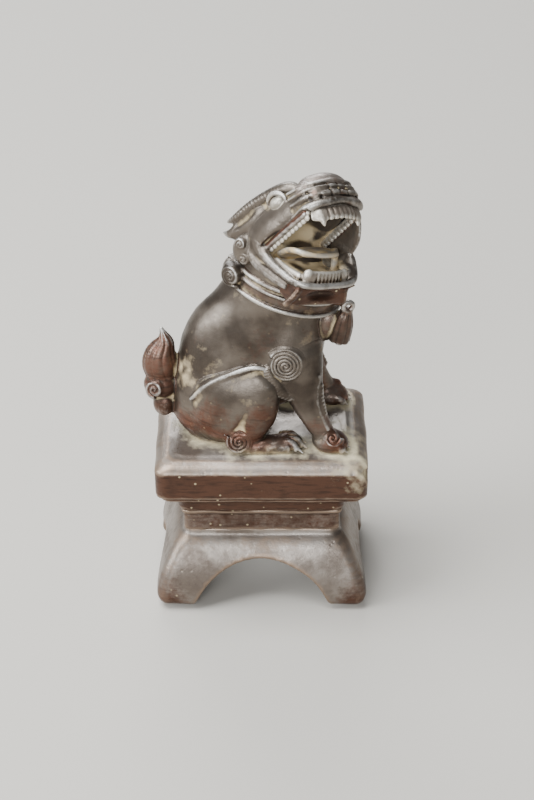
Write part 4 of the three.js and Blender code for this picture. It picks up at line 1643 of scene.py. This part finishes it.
    def upper_teeth(self, casting: Casting) -> None:
        """The upper teeth: a broad grooved band, a pointed canine at either end and a row of molars."""
        clay = Clay((-2, -11, -6), (25, 11, 2.5), 0.2, self.muzzle)
        band = mirrored(
            [(20.4, -7.4, -0.5, 0.7, 1.5), (22.2, -6.0, -1.0, 0.75, 2.1), (23.6, 0, -1.0, 0.75, 2.1)]
        )
        clay.add(Limb(band, samples=4, cap=0.6))
        for side in (-1, 1):
            clay.add(Limb([(21.8, side * 5.8, -0.4, 1.25, 1.1), (21.9, side * 5.8, -2.8, 0.9, 0.8),
                           (21.6, side * 5.6, -4.2, 0.3, 0.3)], up=(1, 0, 0)), 0.5)
            gum = [(19.6, side * 8.0, 0.7, 0.7), (10, side * 8.4, 0.7, 0.7), (1, side * 8.6, 0.6, 0.7)]
            clay.add(Cord(gum), 0.4)
            for k in range(11):
                x = 18.6 - 1.72 * k
                y = side * (8.0 + 0.6 * k / 10)
                clay.add(Pebble((x, y, -0.1), (0.98, 0.62, 1.1)), 0.25)
        for across in (-4.4, -2.9, -1.4, 0.1, 1.6, 3.1, 4.5):
            front = 24.4 - 0.05 * across * across
            clay.press(Cord([(front, across, z, 0.1) for z in (-3.0, -1.2, 0.2)], 3), 0.22, 0.26)
            clay.cut(Pebble((front - 0.6, across, -3.5), (1.4, 0.3, 0.9)), 0.2)
        casting.pour("upper_teeth", clay, WORN_BRONZE)

    def lower_teeth(self, casting: Casting) -> None:
        """The lower teeth: a low grooved band between two blunt canines, and a ledge behind them."""
        clay = Clay((2, -10, -4), (18, 10, 3.5), 0.2, self.seat)
        band = mirrored(
            [(14.8, -6.2, -1.2, 1.0, 1.8), (15.6, -3.2, -1.2, 1.0, 1.8), (15.8, 0, -1.2, 1.0, 1.8)]
        )
        clay.add(Limb(band, samples=4, cap=0.6))
        for side in (-1, 1):
            y = 5.4 * side if side < 0 else 6.5
            canine = [(14.8, y, -1.8, 1.3, 1.3), (15.1, y, -0.4, 1.1, 1.1), (15.0, y, 0.4, 0.7, 0.7)]
            clay.add(Limb(canine, up=(1, 0, 0)), 0.5)
            ledge = [(13.4, side * 7.0, -1.6, 0.9), (9, side * 7.8, -1.6, 0.8), (4, side * 8.2, -1.2, 0.7)]
            clay.add(Cord(ledge), 0.5)
        for across in (-3.4, -2.2, -1.0, 0.2, 1.4, 2.6, 3.8, 5.0):
            front = 16.8 - 0.03 * across * across
            clay.press(Cord([(front, across, z, 0.1) for z in (-2.6, -1.2, 0.6)], 3), 0.32, 0.3)
        clay.settle(casting.clay["lower_jaw"], fillet=0.5)
        casting.pour("lower_teeth", clay, WORN_BRONZE)

    def tongue(self, casting: Casting) -> None:
        """The tongue: broad, arched, with a raised rim and a hollow below it."""
        clay = Clay((-3, -8, -5), (14, 8, 8), 0.27, self.seat)
        arch = [
            (-1, 0, -2.6, 5.4, 1.3),
            (2.5, 0, -0.2, 6.4, 1.2),
            (5.6, 0, 2.2, 6.9, 1.0),
            (8.6, 0, 3.5, 6.8, 0.9),
        ]
        clay.add(Limb(arch + [(11.0, 0, 3.4, 5.8, 0.8)], samples=5))
        rim = [(2.0, -6.4, 0.2, 0.6), (6.2, -7.0, 2.9, 0.65), (9.6, -6.4, 4.0, 0.65), (11.8, -3.6, 3.8, 0.6)]
        clay.add(Cord(rim + [(12.4, 0, 3.7, 0.6), (11.8, 4.6, 3.7, 0.6), (8.8, 6.9, 3.7, 0.6)]), 1.0)
        edge = [(10.8, 5.4, 3.4, 0.9, 0.9), (10.8, 6.2, -0.6, 0.9, 0.9), (10.8, 6.6, -3.0, 1.2, 1.2)]
        clay.add(Limb(edge), 0.4)
        clay.settle(casting.clay["lower_jaw"], casting.clay["head_skull"], fillet=0.8)
        casting.pour("tongue", clay, WORN_BRONZE, self.film)

    @staticmethod
    def film(points: Array) -> Array:
        """A thin uneven film of dust."""
        return 0.38 + 0.3 * value_noise(points, 3.2, 9)

    def nose(self, casting: Casting) -> None:
        """The broad nose, rubbed red on top, with a curled nostril at either side."""
        clay = Clay((13, -11, 1.5), (27, 11, 13.5), 0.24, self.muzzle)
        clay.add(Pebble((19.8, 0, 8.7), (4.9, 6.6, 3.5), (0, 14, 0)))
        for side in (-1, 1):
            clay.add(Pebble((18.2, side * 4.4, 8.4), (3.6, 2.9, 2.9)), 1.6)
            clay.add(Curl((20.0, side * 7.6, 8.2), (0.4, side, 0.3), 2.3, 1.6, 0.5, 0.7, 2.2, side, 200), 0.6)
            clay.cut(Pebble((20.4, side * 8.6, 8.4), (0.6, 1.0, 0.6)), 0.4)
        clay.settle(casting.clay["head_skull"], fillet=0.7)
        casting.pour("nose", clay, RED_BRONZE, ruddy=0.32)

    def eye(self, casting: Casting, side: Side) -> None:
        """One bulging eye inside its lids."""
        s = side.value
        clay = Clay((6.5, min(6 * s, 12.5 * s), 5), (14, max(6 * s, 12.5 * s), 12.5), 0.16, self.muzzle)
        clay.add(Pebble((10.2, s * 8.7, 8.8), (2.6, 2.1, 1.95), (0, 8, 0)))
        clay.settle(casting.clay["head_skull"], fillet=0.3)
        casting.pour("eye_" + side.name.lower(), clay, WORN_BRONZE)

    def crest(self, casting: Casting, side: Side) -> None:
        """One brow, which runs back over the eye as a ribbed crest and ends in the pointed ear."""
        s = side.value
        clay = Clay((-16, min(3 * s, 15 * s), 4.5), (18, max(3 * s, 15 * s), 17.5), 0.24, self.muzzle)

        def ribs(along: Array, turn: Array) -> Array:
            """Ribs across the crest, sharp in the valleys."""
            return 0.15 * (np.abs(np.cos(math.pi * along / 1.15)) ** 0.7 - 0.6) * (along > 5)

        spine = [
            (15.4, s * 4.8, 9.6, 1.5, 1.5),
            (13.2, s * 5.6, 11.4, 2.5, 2.1),
            (10.2, s * 6.4, 12.5, 2.5, 2.0),
        ]
        spine += [
            (4.7, s * 8.2, 13.0, 2.4, 1.9),
            (-0.8, s * 9.7, 13.1, 2.2, 1.7),
            (-5.8, s * 10.7, 13.0, 1.8, 1.3),
        ]
        clay.add(Limb(spine + [(-9.4, s * 11.3, 13.9, 0.4, 0.4)], samples=5, ripple=ribs))
        clay.add(Pebble((-2.6, s * 9.6, 10.2), (8.2, 2.1, 3.4), (0, -2, s * -7)), 0.5)
        clay.add(Pebble((8.6, s * 7.4, 11.0), (4.0, 2.0, 2.0), (0, 8, s * -7)), 0.6)
        clay.add(Limb([(-6.6, s * 10.6, 10.2, 1.5, 1.9), (-9.8, s * 11.4, 10.4, 1.0, 1.3),
                       (-11.9, s * 12.0, 11.9, 0.3, 0.3)], samples=4), 0.5)
        clay.cut(Pebble((-2.2, s * 12.0, 10.7), (5.0, 1.2, 1.0), (0, -2, s * -7)), 0.8)
        clay.settle(casting.clay["head_skull"], fillet=0.7)
        casting.pour("ear_crest_" + side.name.lower(), clay, BRONZE)

    def chin(self, casting: Casting) -> None:
        """The block below the chin: a leaning red face with a hollow in its middle, between two bars."""
        clay = Clay((-1, -13, -12), (18.5, 13, -2), 0.27, self.seat)
        clay.add(Block((11.8, 0.6, -6.5), (3.6, 8.9, 2.8), 0.7, (0, 8, 0)))
        clay.cut(Pebble((16.0, 0.6, -6.7), (1.9, 5.2, 1.6), (0, 8, 0)), 0.7)
        for side in (-1, 1):
            bar = [
                (15.2, side * 7.6, -5.0, 0.8),
                (14.9, side * 8.7, -7.2, 0.9),
                (14.0, side * 9.6, -9.3, 0.9),
            ]
            clay.add(Cord(bar), 0.5)
        clay.add(Limb([(14.6, 9.4, -4.4, 0.8, 0.8), (15.2, 11.2, -3.9, 0.25, 0.25)], samples=3), 0.3)
        clay.settle(casting.clay["lower_jaw"], casting.clay["trunk"], fillet=0.5)
        casting.pour(
            "chin_plate",
            clay,
            RED_BRONZE,
            soil=self.rubbed,
            ruddy=1.0,
        )

    @staticmethod
    def rubbed(points: Array) -> Array:
        """A face rubbed clean of the dust that would lie in its hollow."""
        return np.full(len(points), -0.8, np.float32)

    def build(self, casting: Casting) -> None:
        """The skull first, then what settles on it."""
        self.skull(casting)
        self.lower_jaw(casting)
        self.upper_teeth(casting)
        self.lower_teeth(casting)
        self.tongue(casting)
        self.nose(casting)
        for side in Side:
            self.eye(casting, side)
            self.crest(casting, side)
        self.chin(casting)


@dataclass
class Neck:
    """What lies round the neck: the collar's bands, the ring and tassel in front, the mane's curls behind."""

    at: Point = (7.6, -0.6, 48.2)
    half_x: float = 15.4
    half_y: float = 13.0
    tilt: float = 16.0

    def hoop(self, proud: float, along: float, radius: float, tall: float = 0.0) -> list[Point]:
        """Stations once round the collar.

        Args:
            proud: How far outside the collar's own oval the hoop lies.
            along: How far up the neck.
            radius: The hoop's thickness.
            tall: Its half height, if it is a band rather than a bead.

        Returns:
            The stations, starting and ending at the nape.
        """
        turn = spin(0, self.tilt, 0)
        stations = []
        for a in np.linspace(-math.pi, math.pi, 33):
            own = np.array([(self.half_x + proud) * math.cos(a), (self.half_y + proud) * math.sin(a), along])
            spot = turn @ own + np.array(self.at)
            stations.append((*spot, radius, tall) if tall else (*spot, radius))
        return stations

    def collar(self, casting: Casting) -> None:
        """The collar: a bead, a broad hollowed band and two more beads."""
        clay = Clay((-10, -16.5, 39), (26, 16, 57), 0.36)
        normal = spin(0, self.tilt, 0)[:, 2]
        clay.add(Limb(self.hoop(-1.2, 0, 1.3, 3.2), up=tuple(normal), samples=2))
        for along, radius in ((-3.0, 0.62), (0.9, 0.55), (2.9, 0.6)):
            clay.add(Cord(self.hoop(0.15, along, radius), 2), 0.35)
        clay.settle(casting.clay["trunk"], fillet=0.5, sink=1.2)
        casting.pour("collar", clay, BRONZE, self.band_dust, 0.35)

    @staticmethod
    def band_dust(points: Array) -> Array:
        """A little dust between the beads."""
        return 0.25 + 0.15 * value_noise(points, 6.0, 14)

    def ring(self, casting: Casting) -> None:
        """The cast ring in front of the collar that the tassel hangs from."""
        clay = Clay((20, -13, 39.5), (29, -3, 49.5), 0.15)
        round_ring = []
        for a in np.linspace(0, 2 * math.pi, 17):
            x = 24.0 + 1.3 * math.cos(a)
            y = -8.0 + 0.4 * math.cos(a)
            round_ring.append((x, y, 44.0 + 1.3 * math.sin(a), 0.7))
        clay.add(Cord(round_ring, 2))
        clay.add(Cord([(20.6, -6.8, 45.4, 1.4), (23.2, -7.4, 44.8, 1.0)]), 0.6)
        clay.cut(Cord([(24.0, -12, 44.0, 0.55), (24.0, -5, 44.0, 0.55)]), 0.2)
        clay.settle(casting.clay["trunk"], casting.clay["collar"], fillet=0.4)
        casting.pour("collar_loop", clay, BRONZE, ruddy=0.65)

    def tassel(self, casting: Casting) -> None:
        """The fluted tassel, cast in one with the chest behind it."""
        clay = Clay((15, -12, 29), (28, -1, 44), 0.21)

        def flutes(along: Array, turn: Array) -> Array:
            """Eight flutes down the tassel."""
            return 0.3 * (np.abs(np.cos(4 * turn)) ** 0.7 - 0.6)

        spine = [(23.8, -7.2, 42.4, 1.3, 1.4), (23.2, -7.0, 40.4, 2.3, 2.2), (22.6, -6.8, 37, 2.8, 2.9)]
        clay.add(Limb(spine + [(21.6, -6.2, 32.8, 3.0, 3.2)], up=(1, 0, 0), ripple=flutes, cap=0.25))
        clay.add(Pebble((18.6, -5.0, 36.8), (3.6, 3.0, 5.4), (0, 10, 0)), 0.8)
        clay.settle(casting.clay["trunk"], casting.clay["collar_loop"], fillet=0.9)
        casting.pour("tassel", clay, BRONZE, ruddy=0.4)

    def mane(self, casting: Casting, side: Side) -> None:
        """The large curl behind the collar and the small ones on the nape above it."""
        s = side.value
        out = (-0.62, s * 0.78, 0.1)
        drop = 0.0 if side is Side.RIGHT else 4.0
        clay = Clay((-15, min(0, 14 * s), 44 - drop), (0, max(0, 14 * s), 60 - drop), 0.16)
        clay.add(Curl((-8.2, s * 7.0, 53.2 - drop), out, 3.5, 3.2, 1.0, 0.55, 3.8, -s, 60))
        clay.add(Pebble((-8.6, s * 4.4, 52.4 - drop), (2.4, 3.0, 3.6)), 0.8)
        clay.settle(casting.clay["trunk"], casting.clay["collar"], fillet=0.7)
        casting.pour("mane_curl_" + side.name.lower(), clay, BRONZE)
        clay = Clay((-13, min(1 * s, 14 * s), 53), (3, max(1 * s, 14 * s), 68), 0.16)
        clay.add(Pebble((-4.4, s * 5.6, 60.6), (3.4, 3.0, 4.6)))
        clay.add(Curl((-5.6, s * 7.4, 63.2), (-0.5, s * 0.85, 0.15), 2.2, 2.0, 0.6, 0.5, 3.6, -s, 100), 0.3)
        clay.add(Curl((-4.8, s * 8.2, 59.0), (-0.4, s * 0.9, 0.0), 2.2, 2.0, 0.6, 0.5, 3.4, -s, 160), 0.3)
        clay.settle(casting.clay["trunk"], casting.clay["lower_jaw"], casting.clay["head_skull"], fillet=0.7)
        casting.pour("nape_curl_" + side.name.lower(), clay, BRONZE)

    def build(self, casting: Casting) -> None:
        """The collar first, then the ring, the tassel and both sides of the mane."""
        self.collar(casting)
        self.ring(casting)
        self.tassel(casting)
        for side in Side:
            self.mane(casting, side)


# ---------------------------------------------------------------- room
@dataclass
class Studio:
    """A pale table top, soft panels of light around the dog, and the camera."""

    casting: Casting
    lens: float = 94.5  # mm, on a 36 mm high sensor
    eye: Point = (1.56, -509.4, 390.2)
    dip: float = 33.0  # degrees that the camera looks down
    reach: float = 1.5  # m from the middle of the table top to each edge
    aim: Point = (0.0, 0.0, 0.07)  # m, the point that the lights face
    tint: Point = (0.87, 0.94, 1.0)  # colour of the lights

    def build(self) -> None:
        """Sets up floor, light and camera."""
        self.table()
        self.light()
        self.camera()

    def table(self) -> None:
        """A plain pale table top of matt board."""
        side = self.reach
        mesh = bpy.data.meshes.new("table_top")
        corners = [(-side, -side, 0), (side, -side, 0), (side, side, 0), (-side, side, 0)]
        mesh.from_pydata(corners, [], [(0, 1, 2, 3)])
        material = bpy.data.materials.new("pale matt board")
        material.use_nodes = True
        tree = material.node_tree
        tree.nodes.clear()
        shader = node(tree, "ShaderNodeBsdfPrincipled", {"Base Color": linear("#aaa298"), "Roughness": 0.9})
        node(tree, "ShaderNodeOutputMaterial", Surface=shader.outputs["BSDF"])
        mesh.materials.append(material)
        top = bpy.data.objects.new("table_top", mesh)
        bpy.context.scene.collection.objects.link(top)

    def light(self) -> None:
        """Soft panels overhead, behind, to the left and in front, in a pale room."""
        self.panel("overhead", (-0.35, -0.05, 1.0), 0.65, 26.0)
        self.panel("behind", (-0.2, 1.2, 0.8), 0.8, 22.0)
        self.panel("left", (-1.0, -0.3, 0.5), 0.55, 15.0)
        self.panel("front", (-0.3, -1.5, 0.75), 0.95, 34.0)
        world = bpy.data.worlds.new("dim room")
        world.use_nodes = True
        background = world.node_tree.nodes["Background"]
        background.inputs["Color"].default_value = linear("#c9ccd1")
        background.inputs["Strength"].default_value = 0.36
        bpy.context.scene.world = world

    def panel(self, name: str, at: Point, size: float, power: float) -> None:
        """One square soft light, aimed at the dog."""
        data = bpy.data.lights.new(name, "AREA")
        data.shape = "SQUARE"
        data.size = size
        data.energy = power
        data.color = self.tint
        lamp = bpy.data.objects.new(name, data)
        lamp.location = at
        aim = Vector(self.aim) - Vector(at)
        lamp.rotation_euler = aim.to_track_quat("-Z", "Y").to_euler()
        bpy.context.scene.collection.objects.link(lamp)

    def camera(self) -> None:
        """The camera, in front of the stand's long side and above it."""
        data = bpy.data.cameras.new("camera")
        data.sensor_fit = "VERTICAL"
        data.sensor_height = 36.0
        data.lens = self.lens
        data.clip_start = 0.01
        camera = bpy.data.objects.new("camera", data)
        x, y, z = (MM * value for value in self.eye)
        camera.location = (self.casting.middle.x + x, self.casting.middle.y + y, z)
        camera.rotation_euler = (math.radians(90 - self.dip), 0, 0)
        bpy.context.scene.collection.objects.link(camera)
        bpy.context.scene.camera = camera


def main() -> None:
    """Builds the dog from the trunk outwards, then the stand."""
    casting = Casting()
    trunk = Trunk()
    trunk.build(casting)
    trunk.pour(casting)
    sides = [Legs(Side.RIGHT), Legs(Side.LEFT, ahead=0.8)]
    for legs in sides:
        legs.build(casting)
    Tail().build(casting)
    Head().build(casting)
    Neck().build(casting)
    stand = Stand()
    stand.legs(casting)
    stand.waist(casting)
    feet = [part + legs.suffix for legs in sides for part in ("haunch", "forepaw", "hind_paw", "heel_curl")]
    stand.slab(casting, ["trunk", *feet])
    Studio(casting).build()


if __name__ == "__main__":
    logging.basicConfig(level=logging.INFO, format="%(message)s")
    main()
